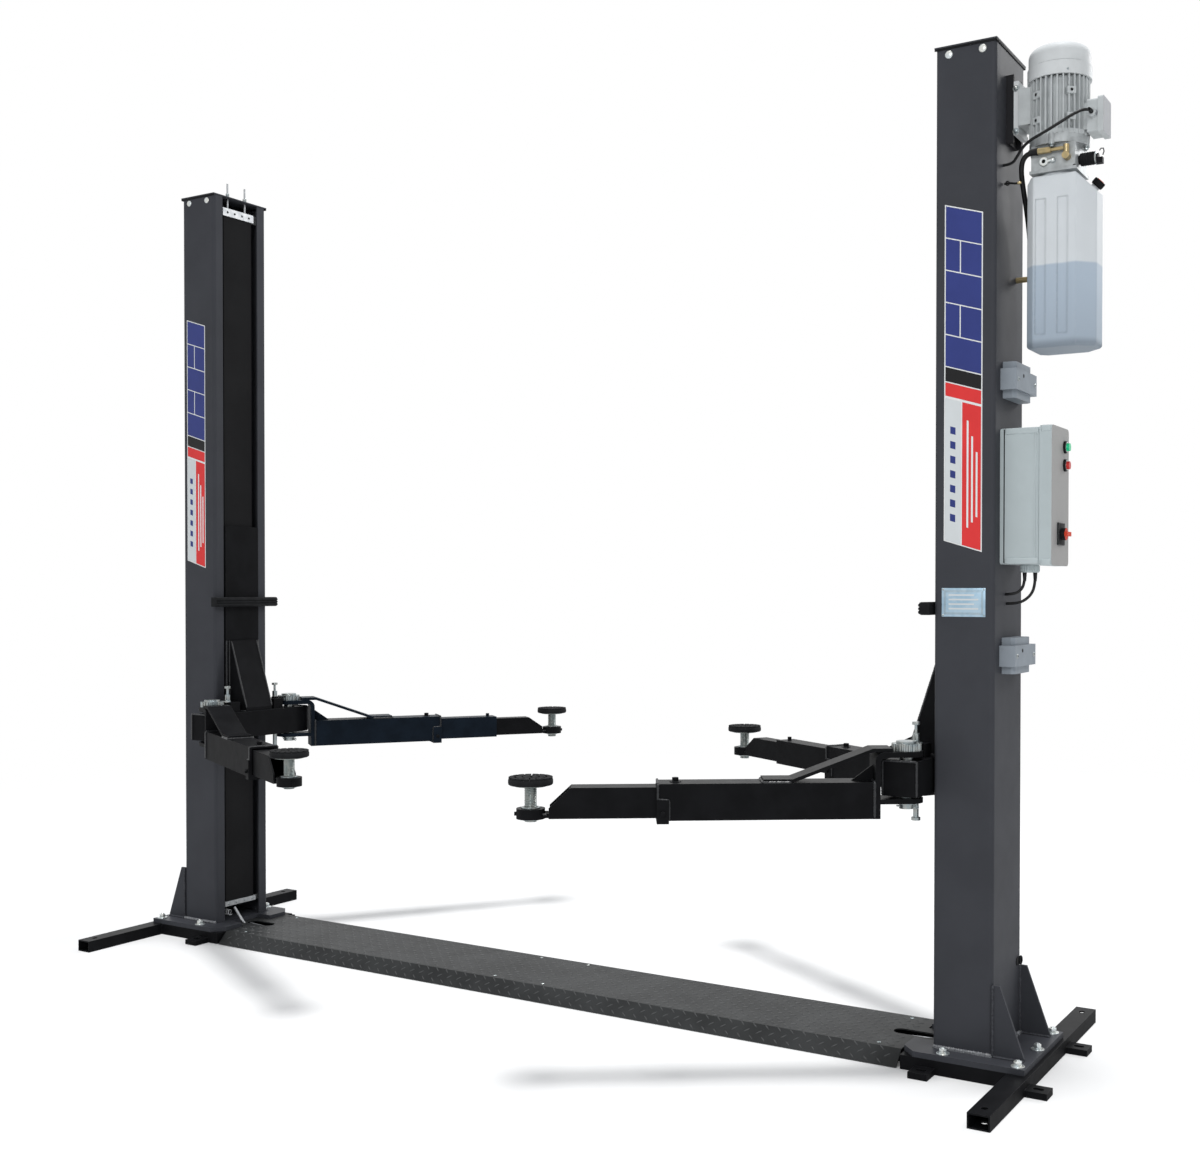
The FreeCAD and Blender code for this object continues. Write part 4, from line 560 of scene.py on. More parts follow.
# Terminal box: motor grey paint, with painted shade in a darker blue grey on its faces towards +X.
TERMINAL_PAINT_AND_SHADE = TwoTone("terminal_paint", (0.46, 0.485, 0.490), roughness=0.55, shade=0.05,
                         blotch=0.03, grain=0.0016, grain_depth=0.00008,
                         rim_colour=(0.76, 0.78, 0.78), rim_share=0.5, specular=0.08,
                         second=(0.235, 0.245, 0.262), mirror_faces=True)
BRASS = Zinc("brass", (0.36, 0.28, 0.14), roughness=0.34, metallic=0.8, blotch=0.01,
             cool=(0.30, 0.26, 0.16), warm=(0.42, 0.32, 0.16), rim_share=0.2,
             rim_colour=(0.70, 0.62, 0.44))
RED_PLASTIC = Finish("red_plastic", (0.55, 0.030, 0.026), roughness=0.36, shade=0.08, blotch=0.01,
                     grain=0.0008, grain_depth=0.00002, rim_colour=(0.7, 0.15, 0.12), specular=0.3)
ORANGE_PLASTIC = Finish("orange_plastic", (0.62, 0.10, 0.03), roughness=0.4, shade=0.08, blotch=0.01,
                        grain=0.0008, grain_depth=0.00002, rim_colour=(0.7, 0.25, 0.12), specular=0.3)
GREEN_LENS = LitLens("green_lens", (0.008, 0.44, 0.20), roughness=0.22, shade=0.1, blotch=0.008,
                     grain=0.0012, grain_depth=0.00003, rim_colour=(0.25, 0.85, 0.55), glow=0.25)
HOSE_BLACK = Finish("hose_rubber", (0.007, 0.0072, 0.0076), roughness=0.46, shade=0.2, blotch=0.01,
                    grain=0.0010, grain_depth=0.00006, rim_share=0.0, specular=0.2)
CABLE_BLACK = Finish("cable_sheath", (0.0075, 0.0078, 0.0085), roughness=0.40, shade=0.2,
                     blotch=0.01, grain=0.0008, grain_depth=0.00003, rim_share=0.0, specular=0.2)
WELD = Casting("weld_bead", (0.150, 0.155, 0.165), roughness=0.40, shade=0.35, blotch=0.006,
               grain=0.0020, grain_depth=0.0002, rim_colour=(0.4, 0.4, 0.41), rim_share=0.4,
               specular=0.4)
COATED_WELD = Casting("coated_weld_bead", (0.050, 0.052, 0.059), roughness=0.50, shade=0.3,
                      blotch=0.006, grain=0.0020, grain_depth=0.0002,
                      rim_colour=(0.16, 0.16, 0.17), rim_share=0.3, specular=0.1)
DARK_WELD = Casting("black_weld_bead", (0.018, 0.019, 0.021), roughness=0.32, shade=0.3,
                    blotch=0.006, grain=0.0020, grain_depth=0.0002,
                    rim_colour=(0.1, 0.1, 0.11), rim_share=0.3, specular=0.35)
BLUE_FILM = Finish("blue_film", (0.029, 0.042, 0.185), roughness=0.34, shade=0.05, grain=0.02,
                   grain_depth=0.00003, rim_share=0.0, specular=0.2)
RED_FILM = Finish("red_film", (0.66, 0.038, 0.038), roughness=0.34, shade=0.04, grain=0.02,
                  grain_depth=0.00003, rim_share=0.0, specular=0.2)
WHITE_FILM = Finish("white_film", (0.74, 0.75, 0.75), roughness=0.36, shade=0.02, grain=0.02,
                    grain_depth=0.00003, rim_share=0.0, specular=0.2)
PALE_FILM = Finish("pale_film", (0.60, 0.63, 0.64), roughness=0.36, shade=0.02, grain=0.02,
                   grain_depth=0.00003, rim_share=0.0, specular=0.2)
BLACK_FILM = Finish("black_film", (0.009, 0.009, 0.010), roughness=0.34, shade=0.1, grain=0.02,
                    grain_depth=0.00003, rim_share=0.0, specular=0.2)
PLATE_BLUE = Zinc("rating_plate", (0.33, 0.47, 0.58), roughness=0.34, metallic=0.35, blotch=0.02,
                  cool=(0.31, 0.47, 0.60), warm=(0.42, 0.52, 0.58), rim_share=0.2,
                  rim_colour=(0.6, 0.72, 0.8))

SLOT_FINISHES = (
    CHARCOAL, GLOSS_BLACK, TREAD_BLACK, ZINC, RUBBER, STRIP, GREY_COVER, BOX_GREY, MOTOR_GREY,
    COWL_SILVER, CAST_METAL, TANK, BLACK_PLASTIC, BRASS, RED_PLASTIC, GREEN_LENS, HOSE_BLACK,
    CABLE_BLACK,
)
NODE_FINISHES = {
    "control_lid": LID_GREY, "motor_bracket": BRACKET_PAINT, "cover_clamps": GALVANISED,
    "arm_outer_rear_left": NAVY_BLACK, "arm_middle_rear_left": NAVY_BLACK,
    "isolator_switch": SWITCH_PAINT, "terminal_box": TERMINAL_PAINT_AND_SHADE,
}


class Paintbox:
    """Makes each finish's material once and hands it out."""

    def __init__(self) -> None:
        """Start with no materials."""
        self._made: dict[str, bpy.types.Material] = {}

    def get(self, finish: Finish) -> bpy.types.Material:
        """The material of a finish.

        Args:
            finish: The finish.

        Returns:
            Its material, made at the first call.
        """
        if finish.name not in self._made:
            self._made[finish.name] = finish.material()
        return self._made[finish.name]

    def dress_frame(self, nodes: dict[str, bpy.types.Object]) -> None:
        """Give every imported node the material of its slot.

        Args:
            nodes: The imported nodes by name.
        """
        finishes = {finish.name: finish for finish in SLOT_FINISHES}
        for name, thing in nodes.items():
            for slot in thing.material_slots:
                usual = finishes[slot.material.name.split(".")[0]]
                slot.material = self.get(NODE_FINISHES.get(name, usual))


PAINTS = Paintbox()


# Mesh tools


# The move for outlines drawn in X and Z
FRONTAL = Matrix.Rotation(math.radians(90.0), 4, "X")


def around(count: int) -> list[float]:
    """Directions in even steps round a circle, in radians."""
    return [2.0 * math.pi * step / count for step in range(count)]


def turn_to(axis: Point) -> Matrix:
    """The turn that brings the Z axis onto another one."""
    return Vector(UP).rotation_difference(Vector(axis)).to_matrix()


class Draft:
    """One piece's mesh in the making, in the lift's own axes."""

    def __init__(self, name: str, *finishes: Finish) -> None:
        """Start an empty mesh.

        Args:
            name: The piece's name.
            finishes: Its finishes; the first one is used until another is chosen.
        """
        self.name = name
        self.finishes = finishes
        self.mesh = bmesh.new()
        self.current = 0
        self.smooth_below = 32.0

    def use(self, finish: Finish) -> "Draft":
        """Choose the finish of the faces that follow."""
        self.current = self.finishes.index(finish)
        return self

    def _close(self, verts: Sequence[bmesh.types.BMVert], rounding: float, steps: int,
               move: Optional[Matrix]) -> None:
        """Round a new shell's edges, move it and give its faces their finish.

        Args:
            verts: The shell's corners.
            rounding: The radius of its edges.
            steps: The faces across each rounded edge.
            move: Where it is moved to.
        """
        if rounding > 0.0:
            edges = list({edge for vert in verts for edge in vert.link_edges})
            sharp = [edge for edge in edges
                     if len(edge.link_faces) == 2 and edge.calc_face_angle(0.0) > math.radians(25.0)]
            made = bmesh.ops.bevel(self.mesh, geom=sharp, offset=rounding, segments=steps,
                                   profile=0.5, affect="EDGES", clamp_overlap=True)
            verts = list({vert for vert in verts if vert.is_valid} | set(made["verts"]))
        if move is not None:
            bmesh.ops.transform(self.mesh, matrix=move, verts=verts)
        for face in {face for vert in verts for face in vert.link_faces}:
            face.material_index = self.current
            face.smooth = True

    def _skin(self, rings: Sequence[Sequence[bmesh.types.BMVert]], closed: bool,
              move: Optional[Matrix] = None) -> "Draft":
        """Join rings of corners into a shell and close its ends.

        Args:
            rings: The corners of each ring; a single corner makes a tip.
            closed: Whether the last ring joins the first one.
            move: Where the shell is moved to afterwards.

        Returns:
            The draft itself.
        """
        faces = []
        for lower, upper in list(zip(rings, rings[1:])) + ([(rings[-1], rings[0])] if closed else []):
            sides = max(len(lower), len(upper))
            for step in range(sides):
                after = (step + 1) % sides
                corners = (lower[step % len(lower)], lower[after % len(lower)],
                           upper[after % len(upper)], upper[step % len(upper)])
                distinct = list(dict.fromkeys(corners))
                if len(distinct) > 2:
                    faces.append(self.mesh.faces.new(distinct))
        if not closed:
            faces += [self.mesh.faces.new(ring) for ring in (rings[0], rings[-1]) if len(ring) > 1]
        bmesh.ops.recalc_face_normals(self.mesh, faces=faces)
        self._close([vert for ring in rings for vert in ring], 0.0, 1, move)
        return self

    def block(self, low: Point, high: Point, rounding: float = 0.0008, steps: int = 2) -> "Draft":
        """Add a box with rounded edges.

        Args:
            low: Its lowest corner.
            high: Its highest corner.
            rounding: The radius of its edges.
            steps: The faces across each rounded edge.

        Returns:
            The draft itself.
        """
        made = bmesh.ops.create_cube(self.mesh, size=1.0)["verts"]
        middle = (Vector(low) + Vector(high)) / 2.0
        span = Vector(high) - Vector(low)
        for vert in made:
            vert.co = Vector(part * length for part, length in zip(vert.co, span)) + middle
        self._close(made, rounding, steps, None)
        return self

    def prism(self, outline: Sequence[Point], depth: float, move: Optional[Matrix] = None,
              rounding: float = 0.0) -> "Draft":
        """Add a flat outline drawn in X and Y and raised along Z.

        Args:
            outline: Its corners in order.
            depth: How far it is raised.
            move: Where it is moved to afterwards.
            rounding: The radius of its edges.

        Returns:
            The draft itself.
        """
        low = [self.mesh.verts.new((x, y, 0.0)) for x, y in outline]
        high = [self.mesh.verts.new((x, y, depth)) for x, y in outline]
        count = len(outline)
        faces = [self.mesh.faces.new(low[::-1]), self.mesh.faces.new(high)]
        for index in range(count):
            after = (index + 1) % count
            faces.append(self.mesh.faces.new((low[index], low[after], high[after], high[index])))
        bmesh.ops.recalc_face_normals(self.mesh, faces=faces)
        self._close(low + high, rounding, 2, move)
        return self

    def turned(self, profile: Sequence[Point], base: Point = (0.0, 0.0, 0.0), axis: Point = UP,
               sides: int = 32, closed: bool = False) -> "Draft":
        """Add a shape turned round an axis.

        Args:
            profile: Radius and height of each corner; nought radius makes a tip.
            base: The point that heights start from.
            axis: The direction of the heights.
            sides: The number of flats round it.
            closed: Whether the profile's end joins its start, as in a ring.

        Returns:
            The draft itself.
        """
        move = Matrix.Translation(base) @ turn_to(axis).to_4x4()
        rings = [[self.mesh.verts.new((radius * math.cos(angle), radius * math.sin(angle), height))
                  for angle in (around(sides) if radius > 0.0 else [0.0])] for radius, height in profile]
        return self._skin(rings, closed, move)

    def ring(self, inner: float, outer: float, height: float, base: Point, axis: Point,
             sides: int) -> "Draft":
        """Add a flat ring of square section."""
        return self.turned([(inner, 0.0), (outer, 0.0), (outer, height), (inner, height)], base, axis,
                           sides, closed=True)

    def disc(self, radius: float, height: float, base: Point, axis: Point, sides: int) -> "Draft":
        """Add a flat round disc."""
        return self.turned([(0.0, 0.0), (radius, 0.0), (radius, height), (0.0, height)], base, axis, sides)

    def tube(self, points: Sequence[Point], radius: Union[float, Callable[[int], float]],
             sides: int = 10, closed: bool = False) -> "Draft":
        """Add a round bar that follows points.

        Args:
            points: The middle line.
            radius: The radius, or a function that gives it for each point.
            sides: The number of flats round it.
            closed: Whether the end joins the start.

        Returns:
            The draft itself.
        """
        line = [Vector(point) for point in points]
        count = len(line)
        rings = []
        normal = None
        for index, point in enumerate(line):
            before = line[index - 1] if index or closed else point
            after = line[(index + 1) % count] if index < count - 1 or closed else point
            tangent = (after - before).normalized()
            if normal is None:
                normal = tangent.orthogonal().normalized()
            normal = (normal - tangent * normal.dot(tangent)).normalized()
            across = tangent.cross(normal)
            reach = radius(index) if callable(radius) else radius
            out = (normal * math.cos(angle) + across * math.sin(angle) for angle in around(sides))
            rings.append([self.mesh.verts.new(point + way * reach) for way in out])
        return self._skin(rings, closed)

    def hexagon(self, base: Point, axis: Point, across: float, height: float,
                spin: float = 0.0) -> "Draft":
        """Add a hexagon nut or bolt head with its corners chamfered.

        Args:
            base: The middle of its lower face.
            axis: The direction that it stands in.
            across: The width over its flats.
            height: Its height.
            spin: Its turn about its own axis.

        Returns:
            The draft itself.
        """
        corner = across / math.sqrt(3.0)
        outline = [(corner * math.cos(spin + turn), corner * math.sin(spin + turn)) for turn in around(6)]
        move = Matrix.Translation(base) @ turn_to(axis).to_4x4()
        return self.prism(outline, height, move, rounding=across * 0.06)

    def bolt(self, base: Point, axis: Point, across: float, washer: float = 0.0,
             stud: float = 0.0) -> "Draft":
        """Add a bolt head or nut on its washer.

        Args:
            base: The point on the surface that it sits on.
            axis: The direction away from the surface.
            across: The width over the flats.
            washer: The washer's thickness, nought for none.
            stud: How far the thread stands out of the nut.

        Returns:
            The draft itself.
        """
        away = Vector(axis).normalized()
        start = Vector(base)
        if washer > 0.0:
            reach = across * 0.92
            edge = washer * 0.25
            self.turned([(0.0, 0.0), (reach, 0.0), (reach, washer - edge), (reach - edge, washer),
                         (0.0, washer)], start, away, 28)
            start = start + away * (washer - 0.0002)
        height = across * 0.62
        self.hexagon(start, away, across, height, spin=(start.x * 37.0 + start.y * 91.0) % 1.0)
        if stud > 0.0:
            thread = across * 0.31
            self.turned([(0.0, 0.0), (thread, 0.0), (thread, height + stud - 0.001),
                         (thread - 0.001, height + stud), (0.0, height + stud)], start, away, 20)
        return self

    def dome(self, base: Point, axis: Point, radius: float, height: float,
             socket: float = 0.0) -> "Draft":
        """Add a domed screw head.

        Args:
            base: The point on the surface that it sits on.
            axis: The direction away from the surface.
            radius: The head's radius.
            height: The head's height.
            socket: The radius of the hole in its top, nought for none.

        Returns:
            The draft itself.
        """
        steps = 6
        profile = [(0.0, 0.0), (radius, 0.0)]
        stop = steps if socket <= 0.0 else steps - 1
        for step in range(1, stop):
            angle = math.pi / 2.0 * step / steps
            profile.append((radius * math.cos(angle), height * math.sin(angle)))
        if socket > 0.0:
            profile += [(socket, height), (socket, height * 0.35), (0.0, height * 0.35)]
        else:
            profile.append((0.0, height))
        return self.turned(profile, base, axis, 24)

    def weld(self, start: Point, end: Point, radius: float, seed: int) -> "Draft":
        """Add a rippled weld bead between two points.

        Args:
            start: Where the bead starts.
            end: Where it ends.
            radius: Its rough radius.
            seed: The number that its ripples are drawn from.

        Returns:
            The draft itself.
        """
        draw = random.Random(seed)
        first = Vector(start)
        run = Vector(end) - first
        count = max(4, int(run.length / 0.0035))
        points = [first + run * (step / count) for step in range(count + 1)]
        sizes = [radius * (0.86 + 0.22 * (step % 2) + draw.uniform(-0.09, 0.09))
                 for step in range(count + 1)]
        sizes[0] = sizes[-1] = radius * 0.5
        return self.tube(points, lambda index: sizes[index], 7)

    def beads(self, points: Sequence[Point], radius: float, seed: int) -> "Draft":
        """Add weld beads from each point to the next.

        Args:
            points: The corners of the seam.
            radius: The rough radius of the bead.
            seed: The number that its ripples are drawn from.

        Returns:
            The draft itself.
        """
        for step, (start, end) in enumerate(zip(points, points[1:])):
            self.weld(start, end, radius, seed + step)
        return self

    def sector(self, inner: float, outer: float, middle: float, gap: float, count: int,
               low: float, high: float) -> "Draft":
        """Add one raised block of a ring of equal blocks round the Z axis.

        Args:
            inner: The ring's inner radius.
            outer: The ring's outer radius.
            middle: The block's direction in radians.
            gap: The width of the groove between two blocks.
            count: The number of blocks in the ring.
            low: The block's foot.
            high: The block's top.

        Returns:
            The draft itself.
        """
        half = math.pi / count
        line = []
        for radius, steps in ((outer, range(-2, 3)), (inner, range(2, -3, -1))):
            reach = half - gap / 2.0 / radius
            line += [(radius * math.cos(middle + reach * step / 2.0),
                      radius * math.sin(middle + reach * step / 2.0)) for step in steps]
        return self.prism(line, high - low, Matrix.Translation((0.0, 0.0, low)), rounding=0.0009)

    def threaded(self, radius: float, depth: float, pitch: float, low: float, high: float,
                 sides: int = 40) -> "Draft":
        """Add an upright screw thread round the Z axis.

        Args:
            radius: The radius over the crests.
            depth: The depth of the groove.
            pitch: The rise of one turn.
            low: The lower end.
            high: The upper end.
            sides: The number of flats round it.

        Returns:
            The draft itself.
        """
        rows = int((high - low) / pitch * 6.0)
        rings = []
        for row in range(rows + 1):
            z = low + (high - low) * row / rows
            ring = []
            for step, angle in enumerate(around(sides)):
                phase = (z / pitch - step / sides) % 1.0
                groove = min(1.0, max(0.0, 1.6 * abs(2.0 * phase - 1.0) - 0.3))
                reach = radius - depth * groove
                ring.append(self.mesh.verts.new((reach * math.cos(angle), reach * math.sin(angle), z)))
            rings.append(ring)
        return self._skin(rings, False)

    def finish(self, body: str, slot: str, replaces: Sequence[str] = (),
               place: Optional[Matrix] = None) -> bpy.types.Object:
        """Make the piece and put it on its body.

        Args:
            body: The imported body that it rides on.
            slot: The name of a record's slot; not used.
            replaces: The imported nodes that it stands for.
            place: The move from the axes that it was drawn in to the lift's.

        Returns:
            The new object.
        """
        if place is not None:
            self.mesh.transform(place)
        data = bpy.data.meshes.new(self.name)
        self.mesh.to_mesh(data)
        self.mesh.free()
        data.set_sharp_from_angle(angle=math.radians(self.smooth_below))
        for finish in self.finishes:
            data.materials.append(PAINTS.get(finish))
        thing = bpy.data.objects.new(self.name, data)
        bpy.context.scene.collection.objects.link(thing)
        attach(thing, body)
        if replaces:
            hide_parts(*replaces)
        LOG.info("%s: %d faces on %s", self.name, len(data.polygons), body)
        return thing


def mirrored(x: float, side: Side) -> float:
    """A place along X on one side."""
    return side.value * x


# Studio


@dataclass
class Studio:
    """The camera, the lamps and the pale floor."""

    eye: Point = (2.8226, -3.8353, 1.3362)
    yaw: float = 29.84
    pitch: float = -0.79
    roll: float = 0.07
    picture: tuple[int, int] = (1200, 1170)
    focal_pixels: float = 1408.0
    middle_pixels: tuple[float, float] = (702.7, 606.7)
    film: float = 36.0
    floor_reach: float = 40.0
    even_light: float = 0.50
    floor_white: float = 0.62
    floor_glow: float = 0.05
    sky_power: float = 3.3
    sky_spread: float = 12.0

    def camera(self) -> None:
        """Set the camera where the photograph was taken from."""
        width, height = self.picture
        data = bpy.data.cameras.new("view")
        data.sensor_width = self.film
        data.lens = self.film * self.focal_pixels / width
        data.shift_x = (width / 2.0 - self.middle_pixels[0]) / width
        data.shift_y = (self.middle_pixels[1] - height / 2.0) / width
        data.clip_end = self.floor_reach * 3.0
        camera = bpy.data.objects.new("view", data)
        camera.location = self.eye
        turn = Matrix.Rotation(math.radians(self.yaw), 3, "Z")
        tilt = Matrix.Rotation(math.radians(90.0 + self.pitch), 3, "X")
        lean = Matrix.Rotation(math.radians(self.roll), 3, "Z")
        camera.rotation_euler = (turn @ tilt @ lean).to_euler()
        bpy.context.scene.collection.objects.link(camera)
        bpy.context.scene.camera = camera

    def lamp(self, name: str, place: Point, aim: Point, size: tuple[float, float],
             power: float) -> None:
        """Add a soft rectangular lamp.

        Args:
            name: The lamp's name.
            place: Where it hangs.
            aim: The point that it faces.
            size: Its width and height.
            power: Its power in watts.
        """
        data = bpy.data.lights.new(name, "AREA")
        data.shape = "RECTANGLE"
        data.size, data.size_y = size
        data.energy = power
        lamp = bpy.data.objects.new(name, data)
        lamp.location = place
        lamp.rotation_euler = (Vector(aim) - Vector(place)).to_track_quat("-Z", "Y").to_euler()
        bpy.context.scene.collection.objects.link(lamp)

    def lamps(self) -> None:
        """Hang the studio's lamps round the lift."""
        data = bpy.data.lights.new("overhead", "SUN")
        data.energy = self.sky_power
        data.angle = math.radians(self.sky_spread)
        bpy.context.scene.collection.objects.link(bpy.data.objects.new("overhead", data))
        self.lamp("behind_right", (4.3, 6.2, 5.2), (1.6, 0.0, 2.3), (2.4, 2.6), 200.0)
        self.lamp("front_right", (3.4, -7.2, 4.2), (1.7, 0.0, 2.5), (2.0, 2.4), 170.0)

    def world(self) -> None:
        """Fill the room with even light and show white behind the lift."""
        tree = ShaderTree(bpy.data.worlds.new("room"))
        even = tree.node("ShaderNodeBackground", None,
                         {"Color": (0.93, 0.96, 1.0, 1.0), "Strength": self.even_light})
        white = tree.node("ShaderNodeBackground", None, {"Color": (1.0, 1.0, 1.0, 1.0), "Strength": 1.0})
        shown = tree.node("ShaderNodeMixShader", None, {0: tree.seen(), 1: even, 2: white})
        bpy.context.scene.world = tree.finish(shown, "ShaderNodeOutputWorld")

    def floor(self) -> None:
        """Lay a white floor that keeps the lift's shadow and fades into the background."""
        mesh = bmesh.new()
        bmesh.ops.create_circle(mesh, cap_ends=True, segments=96, radius=self.floor_reach)
        data = bpy.data.meshes.new("floor")
        mesh.to_mesh(data)
        mesh.free()
        tree = ShaderTree(bpy.data.materials.new("floor_white"))
        seen = tree.seen()
        shade = tree.blend(tree.noise(0.4), (self.floor_white,) * 3, (self.floor_white - 0.01,) * 3)
        matt = tree.node("ShaderNodeBsdfDiffuse", None, {"Color": shade})
        glow = tree.node("ShaderNodeEmission", None,
                         {"Color": (1.0, 1.0, 1.0, 1.0), "Strength": self.floor_glow})
        lit = tree.node("ShaderNodeAddShader", None, {0: matt, 1: glow})
        shown = tree.node("ShaderNodeMixShader", None, {0: seen, 1: matt, 2: lit})
        white = tree.node("ShaderNodeEmission", None, {"Color": (1.0, 1.0, 1.0, 1.0), "Strength": 1.0})
        distance = tree.node("ShaderNodeVectorMath", {"operation": "LENGTH"}, {0: tree.place()}, "Value")
        away = distance.ramp(3.0, 6.5) * seen
        data.materials.append(tree.finish(
            tree.node("ShaderNodeMixShader", None, {0: away, 1: shown, 2: white})))
        floor = bpy.data.objects.new("floor", data)
        bpy.context.scene.collection.objects.link(floor)

    def build(self) -> None:
        """Build the whole studio."""
        bpy.context.scene.view_settings.view_transform = "Standard"
        self.camera()
        self.lamps()
        self.world()
        self.floor()


# Hose and cables


@dataclass(frozen=True)
class Cord:
    """A hose or cable on its own smooth route."""

    name: str
    route: tuple[Point, ...]
    length: float
    diameter: float
    finish: Finish
    stiffness: str

    def build(self, reliefs: Sequence[bpy.types.Object]) -> None:
        """Lay the cord along its route.

        Args:
            reliefs: The pieces that go with the cord; not used.
        """
        data = bpy.data.curves.new(self.name, "CURVE")
        data.dimensions = "3D"
        data.bevel_depth = self.diameter / 2.0
        data.bevel_resolution = 6
        data.resolution_u = 12
        data.use_fill_caps = True
        spline = data.splines.new("NURBS")
        spline.points.add(len(self.route) - 1)
        for point, place in zip(spline.points, self.route):
            point.co = (*place, 1.0)
        spline.order_u = 3
        spline.use_endpoint_u = True
        data.materials.append(PAINTS.get(self.finish))
        thing = bpy.data.objects.new(self.name + "_run", data)
        bpy.context.scene.collection.objects.link(thing)
        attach(thing, "root")
        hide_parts(self.name)
        LOG.info("%s laid", self.name)


CORDS = (
    Cord("hydraulic_hose", (
        (1.706, -0.072, 2.514), (1.681, -0.072, 2.514), (1.662, -0.066, 2.500),
        (1.655, -0.056, 2.474), (1.654, -0.041, 2.445), (1.654, -0.023, 2.415),
        (1.653, -0.002, 2.386), (1.651, 0.020, 2.358), (1.649, 0.040, 2.328),
        (1.648, 0.055, 2.296), (1.648, 0.060, 2.262), (1.648, 0.060, 2.228),
    ), 0.355, 0.014, HOSE_BLACK, "stiff"),
    Cord("motor_cable", (
        (1.845, -0.056, 2.604), (1.845, -0.082, 2.604), (1.822, -0.106, 2.594),
        (1.776, -0.120, 2.566), (1.732, -0.120, 2.546), (1.696, -0.106, 2.538),
        (1.668, -0.086, 2.528), (1.648, -0.072, 2.508), (1.632, -0.062, 2.494),
        (1.607, -0.062, 2.494),
    ), 0.315, 0.008, CABLE_BLACK, "medium"),
    Cord("control_cable_near", (
        (1.657, -0.014, 1.378), (1.657, -0.014, 1.350), (1.649, -0.022, 1.328),
        (1.630, -0.030, 1.318), (1.607, -0.030, 1.318),
    ), 0.097, 0.008, CABLE_BLACK, "medium"),
    Cord("control_cable_far", (
        (1.683, -0.002, 1.378), (1.683, -0.002, 1.346), (1.675, -0.008, 1.318),
        (1.655, -0.015, 1.299), (1.632, -0.020, 1.292), (1.607, -0.020, 1.292),
    ), 0.138, 0.008, CABLE_BLACK, "medium"),
)


@dataclass
class Leads:
    """The hose, the cables and their tapered sleeves."""

    sleeve_length: float = 0.024

    def sleeve(self, cord: Cord) -> bpy.types.Object:
        """A tapered strain relief where a cable leaves its housing.

        Args:
            cord: The cable that it sits on.

        Returns:
            The sleeve.
        """
        start = Vector(cord.route[0])
        away = (Vector(cord.route[1]) - start).normalized()
        inner = cord.diameter / 2.0
        wide, slim = inner * 1.5, inner * 1.12
        profile = [(inner * 0.9, 0.0), (wide, 0.0)]
        for step in range(5):
            low = self.sleeve_length * (0.12 + 0.17 * step)
            reach = wide + (slim - wide) * (step + 0.5) / 5.0
            profile += [(reach, low), (reach, low + self.sleeve_length * 0.10),
                        (reach - inner * 0.10, low + self.sleeve_length * 0.10),
                        (reach - inner * 0.10, low + self.sleeve_length * 0.165)]
        profile += [(slim * 0.98, self.sleeve_length), (inner * 0.9, self.sleeve_length)]
        draft = Draft(cord.name + "_sleeve", cord.finish)
        draft.turned(profile, start, away, 24, closed=True)
        return draft.finish("root", cord.finish.name)

    def build(self) -> None:
        """Lay all cords and fit their sleeves."""
        for cord in CORDS:
            cord.build([self.sleeve(cord)])


# Posts, base and floor cover


